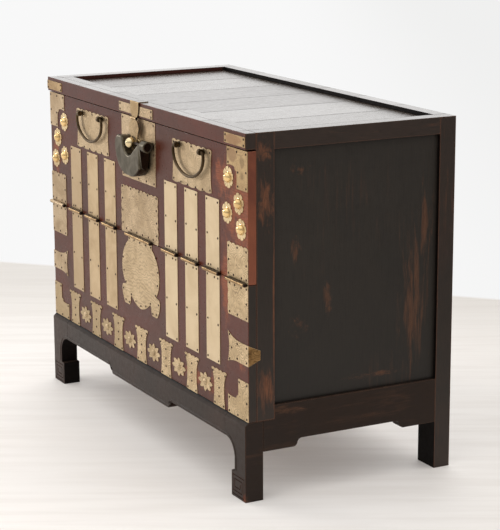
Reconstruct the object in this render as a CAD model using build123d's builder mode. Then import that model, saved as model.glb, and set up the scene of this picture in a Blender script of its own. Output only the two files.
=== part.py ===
from build123d import *
import math
import os

os.makedirs("parts", exist_ok=True)

# A lacquered dowry chest on a low stand. The upper half of the front is a door that drops forward on
# nine hinges. A hasp hangs from the top rail over a ball-headed staple, and a spring padlock's bar
# passes through the ball. All lengths are in millimetres. Depths are measured backwards from the
# face of the front boards, so what stands proud of the face has a negative depth.

# Case
case_width = 1012
case_depth = 481
case_height = 750
stile_width = 36
front_post_depth = 40
back_post_depth = 38
top_rail_height = 35
top_rail_depth = 31
front_rail_depth = 27
panel_thickness = 9
panel_recess = 9
groove_depth = 7
panel_clearance = 0.3
tenon_length = 14
tenon_thickness = 12
tenon_shoulder = 8
joint_clearance = 0.2
edge_round = 1.2
overrun = 5

# Front boards and door
board_thickness = 18.5
door_rest_gap = 0.4
overlay_rail_height = 32.5
overlay_rail_proud = 5.5
door_top_gap = 3
hinge_line_share = 0.48326
seam_gap = 1.2

# Boards of the top and of the floor
top_board_count = 6
board_joint_gap = 0.3
floor_thickness = 12
floor_side_gap = 0.5
floor_board_count = 5
bearer_height = 24
bearer_width = 30

# Stand
stand_height = 167.5
floor_lift = 7.5
floor_bottom = stand_height + floor_lift
stand_proud = 8
stand_ledge_height = 7
stand_board_thickness = 22
leg_depth = 41
leg_width = 48
leg_shoulder = 88
foot_width = 61
foot_height = 54
arch_radius = 38
apron_high_edge = 119.5
apron_low_edge = 103
apron_low_half_width_share = 0.1443
apron_low_half_width = case_width * apron_low_half_width_share
ogee_length = 12
side_apron_thickness = 30
side_apron_rise = 29.5
side_apron_top = stand_height + side_apron_rise
side_apron_high_edge = 118.5
side_apron_low_edge = 102
side_ogee_start = 69
side_ogee_end = 77
side_ogee_length = 20
back_foot_width = 62
back_rail_bottom = 118

# Heights on the front, up from the stand. The door takes what is above the hinge line.
hinge_line_height = stand_height + hinge_line_share * (case_height - stand_height)
door_bottom = hinge_line_height + seam_gap / 2
lower_board_top = hinge_line_height - seam_gap / 2
lower_board_height = lower_board_top - stand_height
overlay_rail_bottom = case_height - overlay_rail_height
door_top = overlay_rail_bottom - door_top_gap
door_height = door_top - door_bottom

# Brass sheet and its small turned and cut details
sheet = 1.2
rod_sides = 8
lobe_shoulder_shares = (0.25, 0.75)
lobe_depth = 3
plate_clearance = 0.3

# Hinges
knuckle_radius = 4.2
pivot_proud = 6
pin_radius = 1.7
pin_clearance = 0.08
knuckle_gap = 0.4
pin_head_radius = 3.6
pin_head_length = 3.4
pin_head_gap = 0.3
leaf_seat = 0.8
strap_width_share = 0.0593
strap_width = case_width * strap_width_share
strap_spacing_share = 0.0965
strap_spacing = case_width * strap_spacing_share
strap_first_offset_share = 0.1566
strap_first_offset = case_width * strap_first_offset_share
strap_barrel_share = 0.0652
strap_barrel = case_width * strap_barrel_share
strap_count = 3
strap_knuckle_count = 3
strap_upper_length_share = 0.5663
strap_upper_length = door_height * strap_upper_length_share
strap_lower_length_share = 0.6763
strap_lower_length = lower_board_height * strap_lower_length_share
edge_leaf_width_share = 0.086
edge_leaf_width = case_width * edge_leaf_width_share
edge_barrel_share = 0.0751
edge_barrel = case_width * edge_barrel_share
edge_knuckle_count = 3
edge_upper_length_share = 0.2794
edge_upper_length = door_height * edge_upper_length_share
edge_lower_length_share = 0.2599
edge_lower_length = lower_board_height * edge_lower_length_share
edge_lobe_count = 5
edge_side_lobe_count = 3
middle_upper_width_share = 0.1907
middle_upper_width = case_width * middle_upper_width_share
middle_upper_length_share = 0.404
middle_upper_length = door_height * middle_upper_length_share
middle_barrel_share = 0.1255
middle_barrel = case_width * middle_barrel_share
middle_knuckle_count = 5
middle_lobe_count = 10
middle_side_lobe_count = 6
vase_half_width_share = 0.0958
vase_half_width = case_width * vase_half_width_share
vase_height_share = 0.5767
vase_height = lower_board_height * vase_height_share

# Corner plates
corner_plate_width_share = 0.086
corner_plate_width = case_width * corner_plate_width_share
rail_plate_height = 20.5
rail_plate_lift = 4.5
rail_middle_plate_width_share = 0.1709
rail_middle_plate_width = case_width * rail_middle_plate_width_share
door_corner_height_share = 0.302
door_corner_height = door_height * door_corner_height_share
door_corner_arm_share = 0.1435
door_corner_arm = door_height * door_corner_arm_share
door_corner_leg_share = 0.0455
door_corner_leg = case_width * door_corner_leg_share
base_corner_height_share = 0.2883
base_corner_height = lower_board_height * base_corner_height_share
base_corner_arm_share = 0.1388
base_corner_arm = lower_board_height * base_corner_arm_share
base_corner_leg_share = 0.0425
base_corner_leg = case_width * base_corner_leg_share
base_plate_lift = 0.5
wrap_end_low_share = 0.3844
wrap_end_low = lower_board_height * wrap_end_low_share
wrap_end_high_share = 0.6123
wrap_end_high = lower_board_height * wrap_end_high_share
wrap_waist_low_share = 0.4129
wrap_waist_low = lower_board_height * wrap_waist_low_share
wrap_waist_high_share = 0.566
wrap_waist_high = lower_board_height * wrap_waist_high_share
wrap_waist_inset_share = 0.0356
wrap_waist_inset = case_width * wrap_waist_inset_share
wrap_notch_depth = 6
wrap_return_length = 27
wrap_return_low_share = 0.4539
wrap_return_low = lower_board_height * wrap_return_low_share
wrap_return_high_share = 0.5215
wrap_return_high = lower_board_height * wrap_return_high_share

# Flowers and waisted plates
door_flower_radius_share = 0.0812
door_flower_radius = door_height * door_flower_radius_share
door_flower_dome_share = 0.628
door_flower_dome_radius = door_flower_radius * door_flower_dome_share
door_flower_dome_height = 8.5
base_flower_half_width_share = 0.0326
base_flower_half_width = case_width * base_flower_half_width_share
base_flower_half_height_share = 0.073
base_flower_half_height = lower_board_height * base_flower_half_height_share
base_flower_dome_share = 0.366
base_flower_dome_radius = base_flower_half_height * base_flower_dome_share
base_flower_dome_height = 3.5
base_flower_height_share = 0.1317
base_flower_height = lower_board_height * base_flower_height_share
petal_count = 8
petal_shares = ((-0.27, 1), (0.27, 1), (0.5, 0.8))
dome_bevel_shares = ((0.3, 0.65), (0.3, 0.25))
dome_sides = 8
door_flower_height_shares = {-1: (0.76, 0.602, 0.458, 0.4054), 1: (0.764, 0.5904, 0.4921, 0.4016)}
door_flower_inset_shares = {-1: (0.977, 0.494, 0.9655, 0.345), 1: (0.9425, 0.437, 1, 0.322)}
base_plate_count = 7
base_plate_spacing_share = 0.1248
base_plate_spacing = case_width * base_plate_spacing_share
base_plate_top_width_share = 0.0682
base_plate_top_width = case_width * base_plate_top_width_share
base_plate_waist_width_share = 0.0435
base_plate_waist_width = case_width * base_plate_waist_width_share
base_plate_foot_width_share = 0.0494
base_plate_foot_width = case_width * base_plate_foot_width_share
base_plate_height_share = 0.2812
base_plate_height = lower_board_height * base_plate_height_share
base_plate_lobe_count = 4

# Bail handles
handle_offset_share = 0.253
handle_offset = case_width * handle_offset_share
handle_shift = 5
handle_plate_width_share = 0.1798
handle_plate_width = case_width * handle_plate_width_share
handle_plate_drop_share = 0.41336
handle_plate_bottom = door_top - door_height * handle_plate_drop_share
handle_plate_height_share = 0.3435
handle_plate_height = door_height * handle_plate_height_share
handle_side_hollow = 4
handle_lobe_count = 8
handle_foot_lobe_count = 5
handle_post_spacing_share = 0.1107
handle_post_spacing = case_width * handle_post_spacing_share
handle_post_share = 0.9012
handle_post_height = handle_plate_bottom + handle_plate_height * handle_post_share
handle_neck_width = 8
handle_shank_width = 5.2
handle_eye_radius = 6.5
handle_eye_width = 9
handle_pivot_proud = 9
clench_width = 18
clench_thickness = 1.6
bail_wire_radius = 3.2
bail_clearance = 0.3
bail_half_width_share = 0.0692
bail_half_width = case_width * bail_half_width_share
bail_corner_radius = 10
bail_side_radius = 38
bail_side_turn = 55
bail_tail = 6
bail_corner_steps = 3
bail_side_steps = 2

# Lock plate and ball-headed staple
lock_plate_width_share = 0.1709
lock_plate_width = case_width * lock_plate_width_share
lock_plate_height_share = 0.5229
lock_plate_height = door_height * lock_plate_height_share
ball_radius = 11.5
ball_sides = 12
ball_bevel_share = 0.57
ball_proud = 19.5
staple_drop = 52
staple_height = door_top - staple_drop
staple_shank_width = 8
bar_proud = 15
bar_radius = 3.2
bar_clearance = 0.3

# Hasp
hasp_sheet = 2
hasp_leaf_width = 42
hasp_leaf_depth = 24
hasp_knuckle_radius = 3
hasp_pin_radius = 1.2
hasp_pivot_proud = 10
hasp_pivot_drop = 2.5
hasp_pivot_height = overlay_rail_bottom - hasp_pivot_drop
hasp_neck_width = 24
hasp_middle_knuckle = 10
hasp_flare_half_width = 25
hasp_flare_drop = 22
hasp_waist_half_width = 18
hasp_waist_drop = 40
hasp_end_radius = 20
hasp_end_lift = 2
hasp_slot_width = 25
hasp_slot_height = 28

# Padlock, measured from the bar's line at the staple
padlock_left = 67
padlock_right = 58
padlock_half_thickness = 12
padlock_depth = 71
padlock_horn_height = 11
padlock_horn_curve = 13
padlock_notch_radius = 27
padlock_notch_slope = 35
padlock_bottom_round = 8
rod_drop = 42
rod_radius = 3
rod_reach = 28
rod_bore_radius = 8.5
rod_bore_reach = 33
keyhole_width = 5
keyhole_height = 12
end_plate_gap = 0.6
end_plate_thickness = 4.4
end_lobe_radius = 12.4
end_lobe_length = 22
end_foot_radius = 8
bar_reach = 60
bar_socket_reach = 62
spring_thickness = 1
spring_width = 6
spring_length = 44
spring_lift = 3.6

# Derived places
half_width = case_width / 2
inner_half_width = half_width - stile_width
front_reach = ball_proud + ball_radius
total_depth = case_depth + front_reach
face_y = front_reach - total_depth / 2
face = Plane.XZ.offset(-face_y)
door_thickness = board_thickness - door_rest_gap
top_rail_bottom = case_height - top_rail_height


def depth(distance):
    """The Y of a place that lies this far behind the face of the front boards."""
    return face_y + distance


def block(x_span, y_span, z_span, grow=0, mode=Mode.ADD):
    """A box between pairs of coordinates, grown all round by a clearance."""
    spans = (x_span, y_span, z_span)
    with Locations(tuple(sum(span) / 2 for span in spans)):
        Box(*(high - low + 2 * grow for low, high in spans), mode=mode)


def cut(spans, clearance):
    """Room for another piece, which stays clear of this one all round."""
    block(*spans, grow=clearance, mode=Mode.SUBTRACT)


def rod(start, end, y, z, radius, mode=Mode.ADD):
    """A small bar or bore along X with flat sides. A bar's corners, or a bore's flats, lie at the radius."""
    with BuildSketch(Plane((start, y, z), x_dir=(0, 1, 0), z_dir=(1, 0, 0))) as section:
        RegularPolygon(radius, rod_sides, major_radius=mode == Mode.ADD, rotation=180 / rod_sides)
    extrude(section.sketch, amount=end - start, mode=mode)


def shank(x, z, front, back, width, mode=Mode.ADD):
    """A square bar along Y between two depths."""
    block(centred(x, width), (depth(front), depth(back)), centred(z, width), mode=mode)


def lobes(start, end, count, bulge):
    """The corners of a run of equal lobes, which bulge to the left of the way from start to end."""
    run = Vector(*end) - Vector(*start)
    out = Vector(-run.Y, run.X).normalized() * bulge
    points = [Vector(*start)]
    for i in range(count):
        points += [points[0] + run * ((i + share) / count) + out for share in lobe_shoulder_shares]
        points.append(points[0] + run * ((i + 1) / count))
    return points


def arc_route(centre, radius, start, end, count):
    """Points along an arc, from one angle to another, in equal steps."""
    turns = [math.radians(start + (end - start) * i / count) for i in range(count + 1)]
    return [(centre[0] + radius * math.cos(turn), centre[1] + radius * math.sin(turn)) for turn in turns]


def petals(x, z, half_wide, half_high):
    """A closed ring of petals round an ellipse."""
    step = 2 * math.pi / petal_count
    points = []
    for i in range(petal_count):
        for turn_share, reach_share in petal_shares:
            turn = (i + turn_share) * step
            points.append((x + half_wide * reach_share * math.cos(turn),
                           z + half_high * reach_share * math.sin(turn)))
    Polyline(*points, close=True)


def dome(radius, height):
    """A low dome that stands on the XZ plane and rises forwards, bevelled twice."""
    with BuildPart() as form:
        with BuildSketch(Plane.XZ):
            RegularPolygon(radius, dome_sides)
        extrude(amount=height)
        for inset_share, drop_share in dome_bevel_shares:
            crown = form.faces().sort_by(Axis.Y)[0]
            chamfer(crown.edges(), radius * inset_share, height * drop_share, reference=crown)
    return form.part


def write(part, name):
    part.label = name
    export_step(part, f"parts/{name}.step")


def write_pair(right, name):
    """Writes a piece of the right-hand side and its mirror image on the left."""
    write(right, f"{name}_right")
    with BuildPart() as left:
        mirror(right, about=Plane.YZ)
    write(left.part, f"{name}_left")


# Spans of the frame's members, as pairs of X, Y and Z, and of their tenons
across = (-inner_half_width, inner_half_width)
front_post_back = board_thickness + front_post_depth
back_post_front = case_depth - back_post_depth
side_run = (depth(front_post_back), depth(back_post_front))
top_run = (top_rail_bottom, case_height)
front_rail_back = board_thickness + front_rail_depth
back_rail_front = case_depth - top_rail_depth
mid_stile = half_width - stile_width / 2


def tenon_span(low, high):
    """The part of a rail's height that its tenon takes."""
    return (low + tenon_shoulder, high - tenon_shoulder)


def centred(middle, size):
    """A pair of coordinates this far apart about a middle."""
    return (middle - size / 2, middle + size / 2)


def longer(span, length):
    """A span that is this much longer at both ends."""
    return (span[0] - length, span[1] + length)


top_side_rail = ((inner_half_width, half_width), side_run, top_run)
top_side_tenon = (centred(mid_stile, tenon_thickness), longer(side_run, tenon_length), tenon_span(*top_run))
front_rail_run = (overlay_rail_bottom, case_height)
top_front_rail = (across, (depth(board_thickness), depth(front_rail_back)), front_rail_run)
top_front_tenon = (
    longer(across, tenon_length / 2),
    centred(depth((board_thickness + front_rail_back) / 2), tenon_thickness),
    tenon_span(*front_rail_run),
)
top_back_rail = (across, (depth(back_rail_front), depth(case_depth)), top_run)
top_back_tenon = (
    longer(across, tenon_length / 2),
    centred(depth((back_rail_front + case_depth) / 2), tenon_thickness),
    tenon_span(*top_run),
)
back_rail_run = (back_rail_bottom, floor_bottom)
base_back_rail = (across, (depth(back_rail_front), depth(case_depth)), back_rail_run)
base_back_tenon = (longer(across, tenon_length / 2), top_back_tenon[1], tenon_span(*back_rail_run))

side_panel = (
    (half_width - panel_recess - panel_thickness, half_width - panel_recess),
    longer(side_run, groove_depth),
    (side_apron_top - groove_depth, top_rail_bottom + groove_depth),
)
top_panel = (
    longer(across, groove_depth),
    (depth(front_rail_back - groove_depth), depth(back_rail_front + groove_depth)),
    (case_height - panel_recess - panel_thickness, case_height - panel_recess),
)
back_panel = (
    longer(across, groove_depth),
    (depth(case_depth - panel_recess - panel_thickness), depth(case_depth - panel_recess)),
    (floor_bottom - groove_depth, top_rail_bottom + groove_depth),
)
apron_tenon_height = side_apron_top - stand_height
side_apron_tenon = (
    centred(half_width - side_apron_thickness / 2, tenon_thickness),
    longer(side_run, tenon_length),
    (stand_height + tenon_shoulder / 2, side_apron_top - groove_depth - tenon_shoulder / 2),
)

# Posts
with BuildPart() as front_post:
    block((inner_half_width, half_width), (depth(board_thickness), depth(front_post_back)),
          (stand_height, case_height))
    for joint in (top_side_tenon, top_front_tenon, side_apron_tenon):
        cut(joint, joint_clearance)
    for joint in (side_panel, top_panel):
        cut(joint, panel_clearance)
write_pair(front_post.part, "front_post")

with BuildPart() as back_post:
    with BuildSketch(Plane.XZ.offset(-depth(case_depth))):
        with BuildLine():
            foot_inside = half_width - back_foot_width
            arch_rise = inner_half_width - foot_inside
            Polyline((inner_half_width, back_rail_bottom), (inner_half_width, case_height),
                     (half_width, case_height), (half_width, 0), (foot_inside, 0),
                     (foot_inside, back_rail_bottom - arch_rise))
            RadiusArc((foot_inside, back_rail_bottom - arch_rise),
                      (inner_half_width, back_rail_bottom), -arch_rise)
        make_face()
    extrude(amount=back_post_depth)
    for joint in (top_side_tenon, top_back_tenon, base_back_tenon, side_apron_tenon):
        cut(joint, joint_clearance)
    for joint in (side_panel, top_panel, back_panel):
        cut(joint, panel_clearance)
write_pair(back_post.part, "back_post")

# Rails of the frame
with BuildPart() as side_rail:
    block(*top_side_rail)
    block(*top_side_tenon)
    for joint in (side_panel, top_panel):
        cut(joint, panel_clearance)
write_pair(side_rail.part, "top_side_rail")

with BuildPart() as front_rail:
    block(*top_front_rail)
    block(*top_front_tenon)
    cut(top_panel, panel_clearance)
write(front_rail.part, "top_front_rail")

with BuildPart() as back_rail:
    block(*top_back_rail)
    block(*top_back_tenon)
    for joint in (top_panel, back_panel):
        cut(joint, panel_clearance)
write(back_rail.part, "top_back_rail")

with BuildPart() as base_rail:
    block(*base_back_rail)
    block(*base_back_tenon)
    cut(back_panel, panel_clearance)
write(base_rail.part, "base_back_rail")

with BuildPart() as overlay_rail:
    block((-half_width, half_width), (depth(-overlay_rail_proud), depth(board_thickness)), front_rail_run)
    front_edges = overlay_rail.faces().sort_by(Axis.Y)[0].edges().filter_by(Axis.X)
    fillet(front_edges, edge_round)
write(overlay_rail.part, "overlay_rail")

# Side aprons, with an ogee step near each leg
ogee_low = depth(leg_depth - stand_proud + side_ogee_start)
ogee_high = depth(back_post_front - side_ogee_end)
with BuildPart() as side_apron:
    with BuildSketch(Plane.YZ.offset(half_width - side_apron_thickness)):
        with BuildLine():
            step_mid = (side_apron_high_edge + side_apron_low_edge) / 2
            front_end = depth(leg_depth - stand_proud)
            Polyline((ogee_low, side_apron_low_edge), (front_end, side_apron_low_edge),
                     (front_end, stand_height), (side_run[0], stand_height),
                     (side_run[0], side_apron_top), (side_run[1], side_apron_top),
                     (side_run[1], side_apron_low_edge), (ogee_high, side_apron_low_edge))
            TangentArc((ogee_high, side_apron_low_edge), (ogee_high - side_ogee_length / 2, step_mid),
                       tangent=(-1, 0))
            TangentArc((ogee_high - side_ogee_length, side_apron_high_edge),
                       (ogee_high - side_ogee_length / 2, step_mid), tangent=(1, 0))
            Line((ogee_high - side_ogee_length, side_apron_high_edge),
                 (ogee_low + side_ogee_length, side_apron_high_edge))
            TangentArc((ogee_low + side_ogee_length, side_apron_high_edge),
                       (ogee_low + side_ogee_length / 2, step_mid), tangent=(-1, 0))
            TangentArc((ogee_low, side_apron_low_edge), (ogee_low + side_ogee_length / 2, step_mid),
                       tangent=(1, 0))
        make_face()
    extrude(amount=side_apron_thickness)
    block(*side_apron_tenon)
    cut(side_panel, panel_clearance)
write_pair(side_apron.part, "side_apron")

# Panels
with BuildPart() as panel:
    block(*side_panel)
write_pair(panel.part, "side_panel")

with BuildPart() as panel:
    block(*back_panel)
write(panel.part, "back_panel")


def boards(spans, count):
    """Equal boards side by side along X, a joint's gap apart."""
    low, high = spans[0]
    pitch = (high - low) / count
    for i in range(count):
        block(centred(low + (i + 0.5) * pitch, pitch - board_joint_gap), *spans[1:])


with BuildPart() as top_boards:
    boards(top_panel, top_board_count)
write(top_boards.part, "top_boards")

with BuildPart() as floor_boards:
    boards(
        (longer(across, -floor_side_gap), (depth(board_thickness), depth(case_depth - panel_recess)),
         (floor_bottom, floor_bottom + floor_thickness)),
        floor_board_count,
    )
    cut(back_panel, panel_clearance)
write(floor_boards.part, "floor_boards")

bearer_run = (floor_bottom - bearer_height, floor_bottom)
apron_inside = half_width - side_apron_thickness
with BuildPart() as bearers:
    for side in (-1, 1):
        middle = side * (apron_inside - bearer_width / 2)
        block(centred(middle, bearer_width), side_run, bearer_run)
    block(centred(0, bearer_width), (depth(stand_board_thickness - stand_proud), depth(back_rail_front)),
          bearer_run)
    cut((centred(0, case_width), (depth(0), depth(board_thickness)), (stand_height, floor_bottom)),
        panel_clearance)
write(bearers.part, "floor_bearers")

# Front boards
with BuildPart() as lower_board:
    block((-half_width, half_width), (depth(0), depth(board_thickness)), (stand_height, lower_board_top))
    fillet(lower_board.faces().sort_by(Axis.Y)[0].edges().filter_by(Axis.Z), edge_round)
write(lower_board.part, "lower_front_board")

handle_places = [side * handle_offset + handle_shift for side in (-1, 1)]
post_places = [place + side * handle_post_spacing / 2 for place in handle_places for side in (-1, 1)]
with BuildPart() as door:
    block((-half_width, half_width), (depth(0), depth(door_thickness)), (door_bottom, door_top))
    fillet(door.faces().sort_by(Axis.Y)[0].edges().filter_by(Axis.Z), edge_round)
    for place in post_places:
        shank(place, handle_post_height, -overrun, door_thickness + overrun,
              handle_shank_width + 2 * pin_clearance, Mode.SUBTRACT)
    shank(0, staple_height, -overrun, door_thickness + overrun, staple_shank_width + 2 * pin_clearance,
          Mode.SUBTRACT)
write(door.part, "door_board")

# Stand
leg_seam = half_width - leg_shoulder
stand_back = depth(leg_depth - stand_proud)
stand_tenon = (
    longer((-leg_seam, leg_seam), tenon_length),
    centred(depth(stand_board_thickness / 2 - stand_proud), tenon_thickness / 2),
    tenon_span(apron_high_edge, stand_height),
)


# The top front edge of the stand is bevelled back to the face of the boards
with BuildSketch(Plane.YZ) as ledge_bevel:
    with BuildLine():
        Polyline((depth(-stand_proud), stand_height - stand_ledge_height),
                 (depth(-stand_proud), stand_height), (depth(0), stand_height), close=True)
    make_face()

with BuildPart() as leg:
    with BuildSketch(Plane.XZ.offset(-stand_back)):
        with BuildLine():
            leg_inside = half_width - leg_width
            foot_inside = half_width - foot_width
            arch_start = (leg_inside, apron_high_edge - arch_radius)
            arch_end = (leg_inside - arch_radius, apron_high_edge)
            Polyline(arch_start, (leg_inside, foot_height), (foot_inside, foot_height), (foot_inside, 0),
                     (half_width, 0), (half_width, stand_height), (leg_seam, stand_height),
                     (leg_seam, apron_high_edge), arch_end)
            RadiusArc(arch_end, arch_start, arch_radius)
        make_face()
    extrude(amount=leg_depth)
    extrude(ledge_bevel.sketch, amount=half_width, both=True, mode=Mode.SUBTRACT)
    cut(stand_tenon, joint_clearance)
write_pair(leg.part, "front_leg")

with BuildPart() as apron:
    with BuildSketch(Plane.XZ.offset(-depth(stand_board_thickness - stand_proud))):
        with BuildLine():
            mid_edge = (apron_high_edge + apron_low_edge) / 2
            flat_end = (apron_low_half_width, apron_low_edge)
            ogee_mid = (apron_low_half_width + ogee_length / 2, mid_edge)
            ogee_top = (apron_low_half_width + ogee_length, apron_high_edge)
            Line((0, apron_low_edge), flat_end)
            TangentArc(flat_end, ogee_mid, tangent=(1, 0))
            TangentArc(ogee_top, ogee_mid, tangent=(-1, 0))
            Polyline(ogee_top, (leg_seam, apron_high_edge), (leg_seam, stand_height), (0, stand_height))
            mirror(about=Plane.YZ)
        make_face()
    extrude(amount=stand_board_thickness)
    block(*stand_tenon)
    extrude(ledge_bevel.sketch, amount=half_width, both=True, mode=Mode.SUBTRACT)
write(apron.part, "stand_apron")

# Hinges: a leaf lies flat on its board and rolls into knuckles in front of the seam
pivot_y = depth(-pivot_proud)


def knuckles(middle, barrel, count, turns, side):
    """Every other knuckle of a barrel, from the given one, with the web that joins it to its leaf."""
    length = (barrel - (count - 1) * knuckle_gap) / count
    web = sorted((hinge_line_height + side * seam_gap / 2, hinge_line_height + side * knuckle_radius))
    for i in range(turns, count, 2):
        start = middle - barrel / 2 + i * (length + knuckle_gap)
        rod(start, start + length, pivot_y, hinge_line_height, knuckle_radius)
        block((start, start + length), (pivot_y, depth(0)), web)
        rod(start, start + length, pivot_y, hinge_line_height, pin_radius + pin_clearance, Mode.SUBTRACT)


strap_offsets = [strap_first_offset + i * strap_spacing for i in range(strap_count)]
edge_offset = half_width - edge_leaf_width / 2
upper_seat = hinge_line_height + leaf_seat
lower_seat = hinge_line_height - leaf_seat

for side, hand in ((-1, "left"), (1, "right")):
    for name, seat, length, turns, way in (
        ("upper", upper_seat, strap_upper_length, 1, 1),
        ("lower", lower_seat, strap_lower_length, 0, -1),
    ):
        with BuildPart() as straps:
            for offset in strap_offsets:
                middle = side * offset
                block(centred(middle, strap_width), (depth(-sheet), depth(0)),
                      sorted((seat, seat + way * length)))
                knuckles(middle, strap_barrel, strap_knuckle_count, turns, way)
        write(straps.part, f"strap_leaves_{name}_{hand}")

with BuildPart() as edge_upper:
    with BuildSketch(face):
        with BuildLine():
            top = upper_seat + edge_upper_length - lobe_depth
            inner = half_width - edge_leaf_width
            Polyline((half_width, top), (half_width, upper_seat), (inner, upper_seat),
                     *lobes((inner, top), (half_width, top), edge_lobe_count, lobe_depth))
        make_face()
    extrude(amount=sheet)
    knuckles(edge_offset, edge_barrel, edge_knuckle_count, 1, 1)
write_pair(edge_upper.part, "edge_leaf_upper")

with BuildPart() as edge_lower:
    with BuildSketch(face):
        with BuildLine():
            foot = lower_seat - edge_lower_length
            inner = half_width - edge_leaf_width + lobe_depth
            Polyline((inner, lower_seat), (half_width, lower_seat), (half_width, foot),
                     *lobes((inner, foot), (inner, lower_seat), edge_side_lobe_count, lobe_depth))
        make_face()
    extrude(amount=sheet)
    knuckles(edge_offset, edge_barrel, edge_knuckle_count, 0, -1)
write_pair(edge_lower.part, "edge_leaf_lower")

with BuildPart() as middle_upper:
    with BuildSketch(face):
        with BuildLine():
            half = middle_upper_width / 2 - lobe_depth
            top = upper_seat + middle_upper_length - lobe_depth
            Polyline(*lobes((-half, upper_seat), (-half, top), middle_side_lobe_count, lobe_depth),
                     *lobes((-half, top), (half, top), middle_lobe_count, lobe_depth)[1:],
                     *lobes((half, top), (half, upper_seat), middle_side_lobe_count, lobe_depth)[1:],
                     close=True)
        make_face()
    extrude(amount=sheet)
    knuckles(0, middle_barrel, middle_knuckle_count, 1, 1)
write(middle_upper.part, "middle_leaf_upper")

# The middle hinge's lower leaf is a vase on two scrolled feet. Shares are of its half width and height,
# down from the hinge line.
vase_neck_share = (0.63, 0.09)
vase_body_shares = [(0.9, 0.2), (1, 0.45), (0.96, 0.6), (0.81, 0.72)]
vase_foot_shares = [(0.9, 0.73), (0.99, 0.75), (1.02, 0.81), (0.89, 0.95), (0.86, 1.0), (0.6, 1.0),
                    (0.56, 0.91)]
vase_base_shares = [(0.66, 0.84), (0.5, 0.86), (0.3, 0.94), (0, 0.985)]


def vase_point(share):
    return (share[0] * vase_half_width, lower_seat - share[1] * vase_height)


with BuildPart() as vase:
    with BuildSketch(face):
        with BuildLine():
            neck = vase_point(vase_neck_share)
            body = [vase_point(share) for share in vase_body_shares]
            scroll = [vase_point(share) for share in vase_foot_shares]
            base = [vase_point(share) for share in vase_base_shares]
            Polyline((0, lower_seat), (neck[0], lower_seat), neck)
            ThreePointArc(neck, body[0], body[1])
            ThreePointArc(body[1], body[2], body[3])
            Line(body[3], scroll[0])
            ThreePointArc(*scroll[:3])
            Polyline(*scroll[2:])
            ThreePointArc(scroll[-1], base[0], base[1])
            ThreePointArc(base[1], base[2], base[3])
            mirror(about=Plane.YZ)
        make_face()
    extrude(amount=sheet)
    knuckles(0, middle_barrel, middle_knuckle_count, 0, -1)
write(vase.part, "middle_leaf_lower")

barrels = [(0, middle_barrel)]
barrels += [(side * offset, strap_barrel) for offset in strap_offsets for side in (-1, 1)]
barrels += [(side * edge_offset, edge_barrel) for side in (-1, 1)]
with BuildPart() as pins:
    for middle, barrel in barrels:
        reach = barrel / 2 + pin_head_gap
        rod(middle - reach, middle + reach, pivot_y, hinge_line_height, pin_radius)
        for side in (-1, 1):
            ends = sorted((side * reach, side * (reach + pin_head_length)))
            rod(middle + ends[0], middle + ends[1], pivot_y, hinge_line_height, pin_head_radius)
write(pins.part, "hinge_pins")

# Plates of the top rail
rail_plate_run = (overlay_rail_bottom + rail_plate_lift,
                  overlay_rail_bottom + rail_plate_lift + rail_plate_height)
rail_plate_depth = (depth(-overlay_rail_proud - sheet), depth(-overlay_rail_proud))
with BuildPart() as rail_plates:
    for side in (-1, 1):
        block(centred(side * (half_width - corner_plate_width / 2), corner_plate_width), rail_plate_depth,
              rail_plate_run)
write(rail_plates.part, "rail_corner_plates")

with BuildPart() as rail_middle_plate:
    block(centred(0, rail_middle_plate_width), rail_plate_depth, rail_plate_run)
write(rail_middle_plate.part, "rail_middle_plate")

# Corner plates of the door and of the lower board
with BuildPart() as door_corner:
    with BuildSketch(face):
        with BuildLine():
            inner = half_width - corner_plate_width
            Polyline((half_width, door_top), (half_width, door_top - door_corner_height),
                     (half_width - door_corner_leg, door_top - door_corner_height),
                     (half_width - door_corner_leg, door_top - door_corner_arm),
                     (inner, door_top - door_corner_arm), (inner, door_top), close=True)
        make_face()
    extrude(amount=sheet)
write_pair(door_corner.part, "door_corner_plate")

base_edge = stand_height + base_plate_lift
with BuildPart() as base_corners:
    with BuildSketch(face):
        with BuildLine():
            inner = half_width - corner_plate_width
            Polyline((half_width, base_edge), (half_width, base_edge + base_corner_height),
                     (half_width - base_corner_leg, base_edge + base_corner_height),
                     (half_width - base_corner_leg, base_edge + base_corner_arm),
                     (inner, base_edge + base_corner_arm), (inner, base_edge), close=True)
        make_face()
        mirror(about=Plane.YZ)
    extrude(amount=sheet)
write(base_corners.part, "base_corner_plates")

# A swallow-tailed plate that wraps round each corner of the lower board
with BuildPart() as wrap_plate:
    with BuildSketch(face):
        with BuildLine():
            inner = half_width - corner_plate_width
            waist = half_width - wrap_waist_inset
            low = [stand_height + lift for lift in (wrap_end_low, wrap_waist_low)]
            high = [stand_height + lift for lift in (wrap_end_high, wrap_waist_high)]
            notch = inner + wrap_notch_depth
            middle = (low[0] + high[0]) / 2
            outer = half_width + sheet
            Polyline((waist, high[1]), (outer, high[1]), (outer, low[1]), (waist, low[1]))
            TangentArc((waist, low[1]), (inner, low[0]), tangent=(-1, 0))
            ThreePointArc((inner, low[0]), (notch, middle), (inner, high[0]))
            TangentArc((waist, high[1]), (inner, high[0]), tangent=(-1, 0))
        make_face()
    extrude(amount=sheet)
    with BuildSketch(Plane.YZ.offset(half_width)):
        with BuildLine():
            tip = depth(wrap_return_length)
            Polyline((depth(0), low[1]), (depth(0), high[1]), (tip, stand_height + wrap_return_high),
                     (tip, stand_height + wrap_return_low), close=True)
        make_face()
    extrude(amount=sheet)
write_pair(wrap_plate.part, "wrap_plate")

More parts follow.
